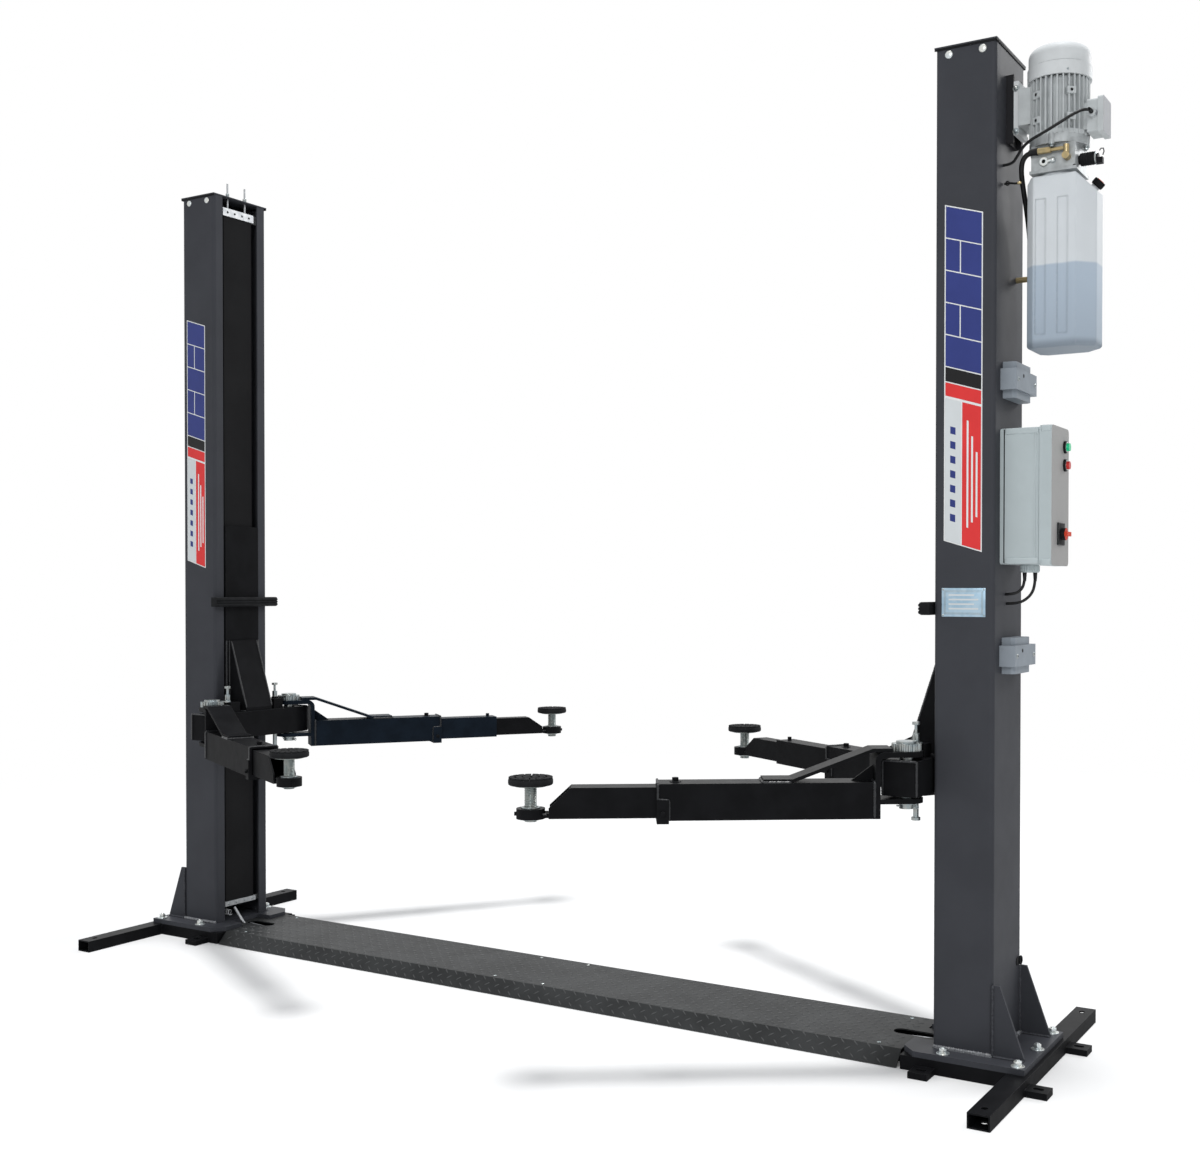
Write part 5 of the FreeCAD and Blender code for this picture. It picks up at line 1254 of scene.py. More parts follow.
@dataclass
class Post:
    """Dress of one post: its foot, bolts, welds, cap and the screws of its lock covers."""

    side: Side
    outer: float = 1.607
    inner: float = 1.435
    half_width: float = 0.127
    foot: float = 0.056
    top: float = 2.824
    gusset_reach: float = 0.088
    gusset_head: float = 0.252
    gusset_skins: tuple[float, float] = (0.1175, 0.1285)
    plate_bolts: tuple[Point, ...] = ((1.480, 0.165), (1.690, 0.165))
    tail_bolt: Point = (1.695, 0.0)
    head_bolts_x: tuple[float, float] = (1.473, 1.569)
    head_bolts_z: float = 2.800
    lip: float = 0.0028
    lip_depth: float = 0.010
    lock_face: float = 1.652
    lock_levels: tuple[float, float] = (1.907, 1.148)
    lock_screws_y: tuple[float, float] = (-0.062, 0.090)
    cable_eye: Point = (0.113, 0.268)

    def foot_welds(self) -> None:
        """Beads round the foot of the post and along its gussets."""
        draft = Draft(f"foot_welds_{self.side.word}", WELD, COATED_WELD)
        near, far = mirrored(self.inner + 0.002, self.side), mirrored(self.outer + 0.001, self.side)
        tip = mirrored(self.outer + self.gusset_reach, self.side)
        low = self.foot + 0.002
        for end in (-1, 1):
            y = end * (self.half_width + 0.001)
            draft.use(WELD).weld((near, y, low), (far, y, low), 0.0066, 3 + end)
            for bead in (end * skin for skin in self.gusset_skins):
                draft.use(COATED_WELD).beads(
                    [(tip, bead, low), (far, bead, low), (far, bead, self.gusset_head)], 0.0038, 5 + end)
        draft.use(WELD).weld((far, -self.half_width, low), (far, self.half_width, low), 0.0066, 9)
        draft.finish("root", "post_powder_coat")

    def foot_bolts(self) -> None:
        """Hexagon bolts that hold the post's base plate."""
        draft = Draft(f"foot_bolts_{self.side.word}", BRIGHT_ZINC)
        places = [(x, end * y) for x, y in self.plate_bolts for end in (-1, 1)] + [self.tail_bolt]
        for x, y in places:
            draft.bolt((mirrored(x, self.side), y, self.foot), UP, 0.020, 0.0025, 0.003)
        draft.finish("root", "zinc_plate")

    def head_bolts(self) -> None:
        """Domed bolts below the cap, on its front and back."""
        draft = Draft(f"head_bolts_{self.side.word}", BRIGHT_ZINC)
        for x in self.head_bolts_x:
            for end in (-1, 1):
                draft.dome((mirrored(x, self.side), end * self.half_width, self.head_bolts_z), (0, end, 0),
                           0.0115, 0.005)
        draft.finish("root", "zinc_plate")

    def cap_trim(self) -> None:
        """Dark edge strips of the cap, on its front, back and outer side."""
        draft = Draft(f"cap_rim_{self.side.word}", BLACK_PLASTIC)
        rim = mirrored(self.outer + self.lip, self.side)
        low, high = sorted((mirrored(self.inner - self.lip, self.side), rim))
        reach = self.half_width + self.lip
        bottom, top = self.top - self.lip_depth, self.top - 0.0008
        for end in (-1, 1):
            first, last = sorted((end * (reach - 0.0022), end * reach))
            draft.block((low, first, bottom), (high, last, top), 0.0006)
        first, last = sorted((mirrored(self.outer + 0.0006, self.side), rim))
        draft.block((first, -reach, bottom), (last, reach, top), 0.0006)
        draft.finish("root", "black_plastic")

    def lock_screws(self) -> None:
        """Screws that hold the two lock covers, a black disc of painted shade for each cover's hole, and the
        cable's eye near the foot.
        """
        draft = Draft(f"lock_screws_{self.side.word}", ZINC, BLACK_PLASTIC)
        out, face = (self.side.value, 0, 0), mirrored(self.lock_face, self.side)
        for middle in self.lock_levels:
            for y in self.lock_screws_y:
                draft.use(ZINC).dome((face, y, middle), out, 0.0065, 0.003, 0.003)
            # Painted shade: a thin black disc for the dark of the hole in the cover.
            draft.use(BLACK_PLASTIC).disc(0.0052, 0.0006, (face, -0.014, middle + 0.014), out, 20)
        y, z = self.cable_eye
        x = mirrored(self.outer + 0.0045, self.side)
        ring = [(x, y + 0.010 * math.cos(turn), z + 0.010 * math.sin(turn)) for turn in around(24)]
        draft.use(BLACK_PLASTIC).tube(ring, 0.0032, 8, closed=True)
        draft.turned([(0.0, 0.0), (0.012, 0.0), (0.012, 0.002), (0.004, 0.003), (0.0, 0.003)],
                     (mirrored(self.outer, self.side), y - 0.019, z), out, 20)
        draft.finish("root", "zinc_plate")

    def build(self) -> None:
        """Dress the post."""
        self.foot_welds()
        self.foot_bolts()
        self.head_bolts()
        self.cap_trim()
        self.lock_screws()


@dataclass
class Tread:
    """Raised bars, screws and ropes of the cover between the posts."""

    top: float = 0.044
    fold: float = 0.150
    foot: float = 0.190
    low: float = 0.002
    end: float = 1.352
    pitch: float = 0.0405
    row: float = 0.0195
    lean: float = 38.0
    bar_length: float = 0.0245
    bar_width: float = 0.0046
    bar_rise: float = 0.0013
    slot: tuple[float, float, float] = (1.262, 1.404, 0.030)
    screws: tuple[Point, ...] = ((0.098, 0.130), (1.275, 0.128))

    def on_sheet(self, x: float, across: float, rise: float) -> Vector:
        """A point on the folded sheet.

        Args:
            x: The place along the cover.
            across: The distance from its middle line, measured along the sheet.
            rise: How far off the sheet it lies.

        Returns:
            The point.
        """
        out = abs(across) - self.fold
        sign = 1.0 if across > 0 else -1.0
        if out <= 0.0:
            return Vector((x, across, self.top + rise))
        run, drop = self.foot - self.fold, self.top - self.low
        slope = math.hypot(run, drop)
        return Vector((x, sign * (self.fold + out * run / slope + rise * drop / slope),
                       self.top - out * drop / slope + rise * run / slope))

    def bar(self, mesh: bmesh.types.BMesh, x: float, across: float, lean: float) -> None:
        """Add one lens shaped bar.

        Args:
            mesh: The mesh that it is added to.
            x: Its middle along the cover.
            across: Its middle across the sheet.
            lean: Its direction, in radians from the X axis.
        """
        cosine, sine = math.cos(lean), math.sin(lean)

        def lens(half: float, shoulder: float, wide: float, rise: float) -> list[bmesh.types.BMVert]:
            """Six corners of the bar at one height.

            Args:
                half: Half its length.
                shoulder: Where its sides start to run in.
                wide: Half its width.
                rise: Its height over the sheet.

            Returns:
                The corners in order.
            """
            places = ((-half, 0.0), (-shoulder, -wide), (shoulder, -wide), (half, 0.0), (shoulder, wide),
                      (-shoulder, wide))
            return [mesh.verts.new(self.on_sheet(x + run * cosine - step * sine,
                                                 across + run * sine + step * cosine, rise))
                    for run, step in places]

        half, wide = self.bar_length / 2.0, self.bar_width / 2.0
        rim = lens(half, half * 0.55, wide, -0.0003)
        crest = lens(half * 0.62, half * 0.35, wide * 0.45, self.bar_rise)
        faces = [mesh.faces.new(crest), mesh.faces.new(rim[::-1])]
        for index in range(6):
            after = (index + 1) % 6
            faces.append(mesh.faces.new((rim[index], rim[after], crest[after], crest[index])))
        for face in faces:
            face.smooth = True

    def bars(self) -> None:
        """Cover the sheet with bars that lean two ways in turn."""
        draft = Draft("cover_tread", TREAD_BARS)
        reach = self.fold + math.hypot(self.foot - self.fold, self.top - self.low)
        rows = int(reach / self.row)
        columns = int(self.end / self.pitch)
        for row in range(-rows, rows + 1):
            across = row * self.row
            if abs(across) > reach - 0.0095:
                continue
            lean = math.radians(self.lean if row % 2 else -self.lean)
            for column in range(-columns, columns + 1):
                x = (column + (0.5 if row % 2 else 0.0)) * self.pitch
                in_slot = self.slot[0] < abs(x) < self.slot[1] and abs(across) < self.slot[2]
                if abs(x) <= self.end - 0.016 and not in_slot:
                    self.bar(draft.mesh, x, across, lean)
        bmesh.ops.recalc_face_normals(draft.mesh, faces=draft.mesh.faces[:])
        draft.smooth_below = 20.0
        draft.finish("root", "checker_sheet")

    def screws_in(self) -> None:
        """Small screws along both edges of the cover's top."""
        draft = Draft("cover_screws", ZINC)
        for x, y in self.screws:
            for way in (-1, 1):
                for end in (-1, 1):
                    draft.dome((way * x, end * y, self.top), UP, 0.0060, 0.0024, 0.003)
        draft.finish("root", "zinc_plate")

    def ropes(self) -> None:
        """Steel ropes that run under the cover and show in its slots and at the left foot."""
        draft = Draft("equalising_ropes", GALVANISED)
        for side in Side:
            draft.tube([(mirrored(1.20, side), -0.004, 0.030), (mirrored(1.30, side), -0.002, 0.031),
                        (mirrored(1.40, side), 0.008, 0.033)], 0.0048, 12)
        swage = [(-1.444, -0.030, 0.098), (-1.428, -0.030, 0.080), (-1.402, -0.029, 0.052),
                 (-1.386, -0.026, 0.037), (-1.350, -0.020, 0.030), (-1.300, -0.012, 0.027)]
        draft.tube(swage, lambda index: (0.0052, 0.0052, 0.0050, 0.0034, 0.0030, 0.0030)[index], 12)
        coil = [(-1.470 + 0.0009 * step, -0.052 + 0.010 * math.cos(step * 0.55),
                 0.083 + 0.010 * math.sin(step * 0.55)) for step in range(34)]
        draft.tube(coil, 0.0016, 6)
        draft.finish("root", "zinc_plate")

    def build(self) -> None:
        """Dress the cover."""
        self.bars()
        self.screws_in()
        self.ropes()


@dataclass
class DustCover:
    """The woven strip that closes the slot of one post."""

    side: Side
    place: float = 1.4505
    half_width: float = 0.068
    bottom: float = 0.108
    top: float = 2.783
    thickness: float = 0.0016
    waviness: float = 0.0009
    rows: int = 180
    columns: int = 10

    def skin(self, mesh: bmesh.types.BMesh, layer: int) -> list[list[bmesh.types.BMVert]]:
        """One skin of the strip, with a faint ripple.

        Args:
            mesh: The mesh that it is added to.
            layer: Minus one for one skin and one for the other.

        Returns:
            Its corners, row by row.
        """
        grid = []
        for row in range(self.rows + 1):
            z = self.bottom + (self.top - self.bottom) * row / self.rows
            line = []
            for column in range(self.columns + 1):
                y = self.half_width * (2.0 * column / self.columns - 1.0)
                ripple = self.waviness * math.sin(z * 9.0 + y * 21.0) * math.sin(z * 2.3 + 1.0)
                x = self.place + ripple * 0.5 + layer * self.thickness / 2.0
                line.append(mesh.verts.new((mirrored(x, self.side), y, z)))
            grid.append(line)
        return grid

    def build(self) -> None:
        """Hang the strip."""
        draft = Draft(f"dust_cover_{self.side.word}", STRIP)
        mesh, rows, columns = draft.mesh, self.rows, self.columns
        first, second = self.skin(mesh, -1), self.skin(mesh, 1)
        for grid in (first, second):
            for lower, upper in zip(grid, grid[1:]):
                for step in range(columns):
                    mesh.faces.new((lower[step], lower[step + 1], upper[step + 1], upper[step]))
        border = ([(row, 0) for row in range(rows + 1)]
                  + [(rows, column) for column in range(1, columns + 1)]
                  + [(row, columns) for row in range(rows - 1, -1, -1)]
                  + [(0, column) for column in range(columns - 1, 0, -1)])
        for (row, column), (next_row, next_column) in zip(border, border[1:] + border[:1]):
            mesh.faces.new((first[row][column], first[next_row][next_column],
                            second[next_row][next_column], second[row][column]))
        bmesh.ops.recalc_face_normals(mesh, faces=mesh.faces[:])
        for face in mesh.faces:
            face.smooth = True
        strip = draft.finish("root", "dust_cover_fabric", ["dust_covers"])


@dataclass
class Clamps:
    """Screws of the bars that hold the strips, and the nuts of the left one's rods."""

    bar_face: float = 1.4437
    top_screws: tuple[Point, ...] = ((2.768, 0.052), (2.768, 0.018))
    foot_screws: tuple[Point, ...] = ((0.117, 0.058), (0.117, 0.020))
    rod: Point = (-1.4563, 0.042)
    nuts: tuple[Point, ...] = ((2.824, 0.0016), (2.8335, 0.0))

    def build(self) -> None:
        """Fit all screws and nuts."""
        for side in Side:
            draft = Draft(f"clamp_screws_{side.word}", BLACK_PLASTIC, ZINC)
            for finish, places in ((BLACK_PLASTIC, self.top_screws), (ZINC, self.foot_screws)):
                for z, y in places:
                    for end in (-1, 1):
                        draft.use(finish).dome((mirrored(self.bar_face, side), end * y, z),
                                               (-side.value, 0, 0), 0.0042, 0.0022, 0.0018)
            if side is Side.LEFT:
                for end in (-1, 1):
                    for level, washer in self.nuts:
                        draft.use(ZINC).bolt((self.rod[0], end * self.rod[1], level), UP, 0.013, washer)
            draft.finish("root", "zinc_plate")


@dataclass(frozen=True)
class Decal:
    """One post's long film: blue fields over two stripes over two panels."""

    side: Side
    low_x: float
    high_x: float
    bottom: float
    top: float
    face: float = -0.127
    slant: float = 0.30
    film: float = 0.00022
    margin: float = 0.0034
    panels: float = 0.45
    red_stripe: float = 0.040
    black_stripe: float = 0.042
    fields: int = 5

    def sheet(self, draft: Draft, finish: Finish, corners: Sequence[Point], layer: int = 1) -> None:
        """Lay one flat film.

        Args:
            draft: The piece that it belongs to.
            finish: Its colour.
            corners: Its outline in X and Z.
            layer: How many films lie below it.
        """
        depth = self.film * (layer + 1)
        move = Matrix.Translation((0.0, self.face, 0.0)) @ FRONTAL
        draft.use(finish).prism(corners, depth, move)

    def band(self, left: float, right: float, low: float, high: float) -> list[Point]:
        """A stripe whose ends fall from left to right.

        Args:
            left: Its left edge, from the film's left edge.
            right: Its right edge, from the film's left edge.
            low: The height of its lower left corner.
            high: The height of its upper left corner.

        Returns:
            Its corners in X and Z.
        """
        drop_left, drop_right = left * self.slant, right * self.slant
        return [(self.low_x + left, low - drop_left), (self.low_x + right, low - drop_right),
                (self.low_x + right, high - drop_right), (self.low_x + left, high - drop_left)]

    def lower_panels(self, draft: Draft, wide: float, floor: float, stripes: float) -> None:
        """A pale panel with blue squares beside a red one with white lines.

        Args:
            draft: The piece that they belong to.
            wide: The film's width.
            floor: The height of the film's lower left corner.
            stripes: The height that the panels reach at their left.
        """
        edge, inner, split = self.margin, self.margin * 0.6, wide * 0.46
        self.sheet(draft, PALE_FILM, self.band(edge, split - inner, floor + edge, stripes - edge))
        self.sheet(draft, RED_FILM, self.band(split + inner, wide - edge, floor + edge, stripes - edge))
        for step in range(3):
            left = split + inner + (wide - split) * (0.22 + 0.22 * step)
            line = self.band(left, left + 0.0052, floor + 0.055 + 0.018 * step, stripes - 0.050 - 0.040 * step)
            self.sheet(draft, WHITE_FILM, line, 2)
        for step in range(7):
            low = floor + 0.060 + 0.040 * step
            self.sheet(draft, BLUE_FILM, self.band(split * 0.36, split * 0.66, low, low + 0.020), 2)

    def upper_fields(self, draft: Draft, wide: float, start: float) -> None:
        """Blue fields one over another, each second one cut in two.

        Args:
            draft: The piece that they belong to.
            wide: The film's width.
            start: The height of the lowest one's lower left corner.
        """
        edge = self.margin
        height = (self.top - edge - start - (self.fields - 1) * edge) / self.fields
        for step in range(self.fields):
            low = start + step * (height + edge)
            joint = wide * 0.40
            halves = ((edge, joint), (joint + edge, wide - edge))
            for left, right in halves if step % 2 else ((edge, wide - edge),):
                self.sheet(draft, BLUE_FILM, self.band(left, right, low, low + height))

    def build(self) -> None:
        """Lay the whole film, a plain design of its own."""
        draft = Draft(f"post_film_{self.side.word}", WHITE_FILM, BLUE_FILM, RED_FILM, BLACK_FILM, PALE_FILM)
        wide, edge = self.high_x - self.low_x, self.margin
        floor = self.bottom + wide * self.slant
        stripes = self.bottom + self.panels * (self.top - self.bottom)
        red_top = stripes + self.red_stripe
        black_top = red_top + self.black_stripe
        self.sheet(draft, WHITE_FILM, self.band(0.0, wide, floor, self.top), 0)
        self.lower_panels(draft, wide, floor, stripes)
        self.sheet(draft, RED_FILM, self.band(edge, wide - edge, stripes + edge, red_top))
        self.sheet(draft, BLACK_FILM, self.band(edge, wide - edge, red_top + edge, black_top))
        self.upper_fields(draft, wide, black_top + edge)
        draft.finish("root", "post_powder_coat")


DECALS = (
    Decal(Side.RIGHT, 1.463, 1.572, 1.433, 2.390),
    Decal(Side.LEFT, -1.585, -1.485, 1.407, 2.357),
)


@dataclass
class RatingPlate:
    """Pale blue plate with a raised frame, plain bars and four rivets."""

    low: Point = (1.458, 1.256)
    high: Point = (1.583, 1.335)
    face: float = -0.127
    thickness: float = 0.0009
    line: float = 0.001
    bar_inset: float = 0.020
    bar_pitch: float = 0.0125
    rivet_inset: float = 0.0042

    def build(self) -> None:
        """Rivet the plate on the right post."""
        draft = Draft("rating_plate", PLATE_BLUE, ZINC, PALE_FILM)
        front = self.face - self.thickness
        draft.block((self.low[0], front, self.low[1]), (self.high[0], self.face, self.high[1]), 0.0004)
        for inset in (0.007, 0.010):
            left, right = self.low[0] + inset, self.high[0] - inset
            low, high = self.low[1] + inset, self.high[1] - inset
            for first, last in (((left, low), (right, low + self.line)),
                                ((left, high - self.line), (right, high)),
                                ((left, low), (left + self.line, high)),
                                ((right - self.line, low), (right, high))):
                draft.use(ZINC).block((first[0], front - 0.0004, first[1]), (last[0], front, last[1]), 0.0)
        for row in range(4):
            z = self.low[1] + self.bar_inset + self.bar_pitch * row
            end = self.high[0] - self.bar_inset - 0.012 * (row % 2)
            draft.use(PALE_FILM).block((self.low[0] + self.bar_inset, front - 0.0002, z),
                                       (end, front, z + 0.0045), 0.0)
        for x in (self.low[0] + self.rivet_inset, self.high[0] - self.rivet_inset):
            for z in (self.low[1] + self.rivet_inset, self.high[1] - self.rivet_inset):
                draft.use(ZINC).dome((x, front, z), (0, -1, 0), 0.0026, 0.0014)
        draft.finish("root", "zinc_plate")


# Carriages and arms


PIVOT = (1.380, 0.190)


@dataclass(frozen=True)
class Arm:
    """One swivelling arm, from its pivot to its pad.

    Its swing is in degrees from straight in, its reach runs from the pivot to the pad's middle and
    its mouth is the open end of its outer tube.
    """

    side: Side
    end: End
    swing: float
    reach: float
    mouth: float

    @property
    def key(self) -> str:
        """The arm's place in words."""
        return f"{self.end.word}_{self.side.word}"

    def base(self) -> Matrix:
        """The move from axes on the arm's pivot to the lift's."""
        return Matrix.Translation((mirrored(PIVOT[0], self.side), self.end.value * PIVOT[1], 0.0))

    def frame(self) -> Matrix:
        """The move from the arm's own axes, X along it, to the lift's."""
        turn = self.end.value * math.radians(self.swing)
        return self.base() @ Matrix.Rotation(math.pi - turn if self.side is Side.RIGHT else turn, 4, "Z")

    def pad_frame(self) -> Matrix:
        """The move from axes on the pad's middle to the lift's."""
        return self.frame() @ Matrix.Translation((self.reach, 0.0, 0.0))


ARMS = (
    Arm(Side.LEFT, End.FRONT, 27.4, 0.977, 0.690),
    Arm(Side.RIGHT, End.FRONT, 33.4, 1.031, 0.690),
    Arm(Side.LEFT, End.REAR, 53.0, 1.086, 0.600),
    Arm(Side.RIGHT, End.REAR, 30.3, 1.194, 0.600),
)


@dataclass
class ArmDress:
    """Welds, bolts, pad and lock teeth of one arm."""

    arm: Arm
    half: float = 0.045
    bottom: float = 0.705
    top: float = 0.805
    yoke: float = 0.094
    landing: float = 0.320
    brace_end: float = 0.400
    brace_half: float = 0.042
    lug_length: float = 0.033
    nose_low: tuple[float, float] = (0.7113, 0.7166)
    plate_low: float = 0.7944
    rubber_low: float = 0.800
    rubber_top: float = 0.8172
    blocks_top: float = 0.822
    gear_low: float = 0.9010
    gear_high: float = 0.9056
    lock_gap: float = 0.073

    def welds(self) -> None:
        """Beads round the yoke, the brace's foot, the tube's mouth and its lugs."""
        draft = Draft(f"arm_welds_{self.arm.key}", DARK_WELD)
        out = self.half + 0.001

        def hoop(x: float, low: float, high: float, radius: float, seed: int) -> None:
            """A bead up one side of the tube, over it and down the other."""
            draft.beads([(x, -out, low), (x, -out, high), (x, out, high), (x, out, low)], radius, seed)

        hoop(self.yoke + 0.002, self.bottom + 0.004, self.top + 0.001, 0.0042, 3)
        foot, beside = self.top + 0.0015, self.brace_half + 0.001
        start, end = self.landing + 0.004, self.brace_end + 0.001
        draft.beads([(start, -beside, foot), (end, -beside, foot), (end, beside, foot), (start, beside, foot)],
                    0.0040, 7)
        hoop(self.arm.mouth - 0.0032, self.bottom + 0.055, self.top + 0.0005, 0.0036, 11)
        lug = self.arm.mouth - self.lug_length - 0.001
        for way in (-1, 1):
            draft.beads([(lug, way * out, self.bottom + 0.002), (lug, way * out, self.bottom + 0.056),
                         (self.arm.mouth - 0.004, way * out, self.bottom + 0.0585)], 0.0030, 15)
        draft.finish(f"arm_{self.arm.key}", "black_paint", place=self.arm.frame())

    def bolts(self) -> None:
        """Stop bolts near the mouth of the tube and on its lugs."""
        draft = Draft(f"arm_bolts_{self.arm.key}", GLOSS_BLACK)
        draft.bolt((self.arm.mouth - 0.052, 0.0, self.top), UP, 0.017, 0.002)
        for way in (-1, 1):
            place = (self.arm.mouth - self.lug_length / 2.0, way * (self.half + 0.006), self.bottom + 0.020)
            draft.bolt(place, (0, way, 0), 0.013)
        draft.finish(f"arm_{self.arm.key}", "black_paint", place=self.arm.frame())

    def nose(self) -> None:
        """Collars on the pad's ring, its welds and its set screw."""
        draft = Draft(f"ring_welds_{self.arm.key}", DARK_WELD, GLOSS_BLACK, ZINC)
        low = self.nose_low[0 if self.arm.end is End.FRONT else 1]
        for base, reach, thick in ((low + 0.025, 0.0262, 0.0036), (low - 0.0072, 0.0236, 0.0042)):
            draft.use(ZINC).turned([(0.0196, 0.0), (reach - 0.0006, 0.0), (reach, 0.0006),
                                    (reach, thick - 0.0006), (reach - 0.0006, thick), (0.0196, thick)],
                                   (self.arm.reach, 0.0, base), UP, 40, closed=True)
        tip = self.arm.reach - 0.050
        for way in (-1, 1):
            draft.use(DARK_WELD).weld((tip + 0.002, way * 0.0195, low + 0.011),
                                      (tip + 0.018, way * 0.0195, low + 0.011), 0.0036, 5 + way)
        draft.use(GLOSS_BLACK).hexagon((self.arm.reach + 0.0385, 0.0, low + 0.010), (1, 0, 0), 0.010, 0.006)
        draft.finish(f"inner_{self.arm.key}", "black_paint", place=self.arm.frame())

    def screw(self) -> None:
        """Threaded pad screw with the plate that the rubber sits in."""
        draft = Draft(f"thread_{self.arm.key}", SCREW_THREAD)
        draft.threaded(0.017, 0.0012, 0.0046, 0.700, self.plate_low + 0.0001)
        draft.disc(0.0196, 0.0024, (0.0, 0.0, self.plate_low), UP, 40)
        draft.turned([(0.0, 0.7966), (0.0446, 0.7966), (0.045, 0.7970), (0.045, 0.7996),
                      (0.0446, self.rubber_low), (0.0, self.rubber_low)], sides=40)
        draft.finish(f"pad_{self.arm.key}", "zinc_plate", [f"pad_screw_{self.arm.key}"], self.arm.pad_frame())

    def rubber(self) -> None:
        """Rubber disc with three rings of raised blocks."""
        draft = Draft(f"tread_pad_{self.arm.key}", RUBBER)
        draft.turned([(0.0, self.rubber_low), (0.0575, self.rubber_low), (0.0605, 0.8025), (0.061, 0.805),
                      (0.061, 0.8135), (0.0592, self.rubber_top), (0.0, self.rubber_top)], sides=56)
        for inner, outer, count in ((0.0445, 0.0598, 18), (0.0245, 0.0410, 10), (0.0065, 0.0210, 5)):
            for middle in around(count):
                draft.sector(inner, outer, middle, 0.0034, count, self.rubber_top - 0.0007, self.blocks_top)
        draft.finish(f"pad_{self.arm.key}", "black_rubber", [f"lift_pad_{self.arm.key}"], self.arm.pad_frame())

    def lock_teeth(self) -> None:
        """Toothed segment on the lock rod, curved round the arm's gear."""
        finish = ZINC if self.arm.end is End.FRONT else GLOSS_BLACK
        draft = Draft(f"lock_teeth_{self.arm.key}", finish)
        root, crest, count, half = 0.0475, 0.0425, 8, 0.024
        line = [(half, self.lock_gap - 0.010), (half, 0.052)]
        for step in range(-count, count + 1):
            angle = math.pi / 2.0 + step * math.radians(3.6)
            reach = crest if step % 2 else root
            line.append((reach * math.cos(angle), reach * math.sin(angle)))
        line += [(-half, 0.052), (-half, self.lock_gap - 0.010)]
        draft.prism(line, self.gear_high - self.gear_low, Matrix.Translation((0.0, 0.0, self.gear_low)),
                    rounding=0.0004)
        draft.disc(0.0125, 0.0050, (0.0, self.lock_gap, self.gear_low - 0.0002), UP, 24)
        turn = Matrix.Rotation(math.pi if self.arm.end is End.REAR else 0.0, 4, "Z")
        draft.finish(f"lock_rod_{self.arm.key}", "zinc_plate", place=self.arm.base() @ turn)

    def build(self) -> None:
        """Dress the arm."""
        self.welds()
        self.bolts()
        self.nose()
        self.screw()
        self.rubber()
        self.lock_teeth()


@dataclass
class CarriageDress:
    """Bumper, welds and split pins of one carriage."""

    side: Side
    front: float = 1.430
    back: float = 1.330
    low: float = 0.765
    beam_top: float = 0.862
    beam_end: float = 0.2405
    cheek: float = 0.063
    cheek_top: float = 1.130
    tube_half: float = 0.0775
    bumper_low: float = 1.260
    bumper_half: float = 0.150
    pin_height: float = 0.7325

    def bumper(self) -> None:
        """Rubber bar with ridges along it."""
        draft = Draft(f"ridged_bumper_{self.side.word}", RUBBER)
        profile = [(0.0, 0.0), (0.024, 0.0), (0.030, 0.003)]
        for step in range(3):
            z = 0.005 + 0.0095 * step
            profile += [(0.0328, z), (0.0328, z + 0.0058), (0.0300, z + 0.0066), (0.0300, z + 0.0088)]
        profile += [(0.030, 0.0335), (0.024, 0.036), (0.0, 0.036)]
        line = [(mirrored(self.front - reach, self.side), self.bumper_low + rise) for reach, rise in profile]
        move = Matrix.Translation((0.0, self.bumper_half, 0.0)) @ FRONTAL
        draft.prism(line, 2.0 * self.bumper_half, move, rounding=0.0006)
        draft.finish(f"carriage_{self.side.word}", "black_rubber", [f"door_bumper_{self.side.word}"])

    def welds(self) -> None:
        """Beads along the gusset, the tube's edges and the beam's ends."""
        draft = Draft(f"carriage_welds_{self.side.word}", DARK_WELD)
        front, back = mirrored(self.front, self.side), mirrored(self.back, self.side)
        fold, edge = mirrored(self.front - 0.001, self.side), mirrored(self.front - 0.0006, self.side)
        top = self.beam_top + 0.001
        for end in (-1, 1):
            out = end * (self.cheek + 0.001)
            draft.beads([(mirrored(self.back + 0.010, self.side), out, top), (fold, out, top),
                         (fold, out, self.cheek_top)], 0.0040, 21 + end)
            seam = end * self.beam_end
            draft.beads([(back, seam, self.low + 0.002), (back, seam, self.beam_top),
                         (front, seam, self.beam_top), (front, seam, self.low + 0.002)], 0.0036, 31 + end)
            draft.weld((edge, end * self.tube_half, self.beam_top + 0.004),
                       (edge, end * self.tube_half, self.cheek_top), 0.0042, 51 + end)
            slope = end * (self.cheek - 0.0005)
            draft.weld((mirrored(self.back + 0.0085, self.side), slope, self.beam_top + 0.015),
                       (mirrored(self.front - 0.009, self.side), slope, self.cheek_top - 0.002),
                       0.0034, 41 + end)
        draft.finish(f"carriage_{self.side.word}", "black_paint")

    def pins(self) -> None:
        """Split pins through the lower ends of the arm pins."""
        draft = Draft(f"split_pins_{self.side.word}", ZINC)
        for end in End:
            x, y, z = mirrored(PIVOT[0], self.side), end.value * PIVOT[1], self.pin_height
            draft.tube([(x - 0.027, y - 0.004, z), (x, y, z), (x + 0.027, y + 0.004, z)], 0.0024, 10)
            loop = [(x + 0.030 + 0.0045 * math.cos(turn), y + 0.0045, z + 0.0045 * math.sin(turn))
                    for turn in around(14)]
            draft.tube(loop, 0.0016, 7, closed=True)
        draft.finish(f"carriage_{self.side.word}", "zinc_plate")

    def build(self) -> None:
        """Dress the carriage."""
        self.bumper()
        self.welds()
        self.pins()


# Power unit


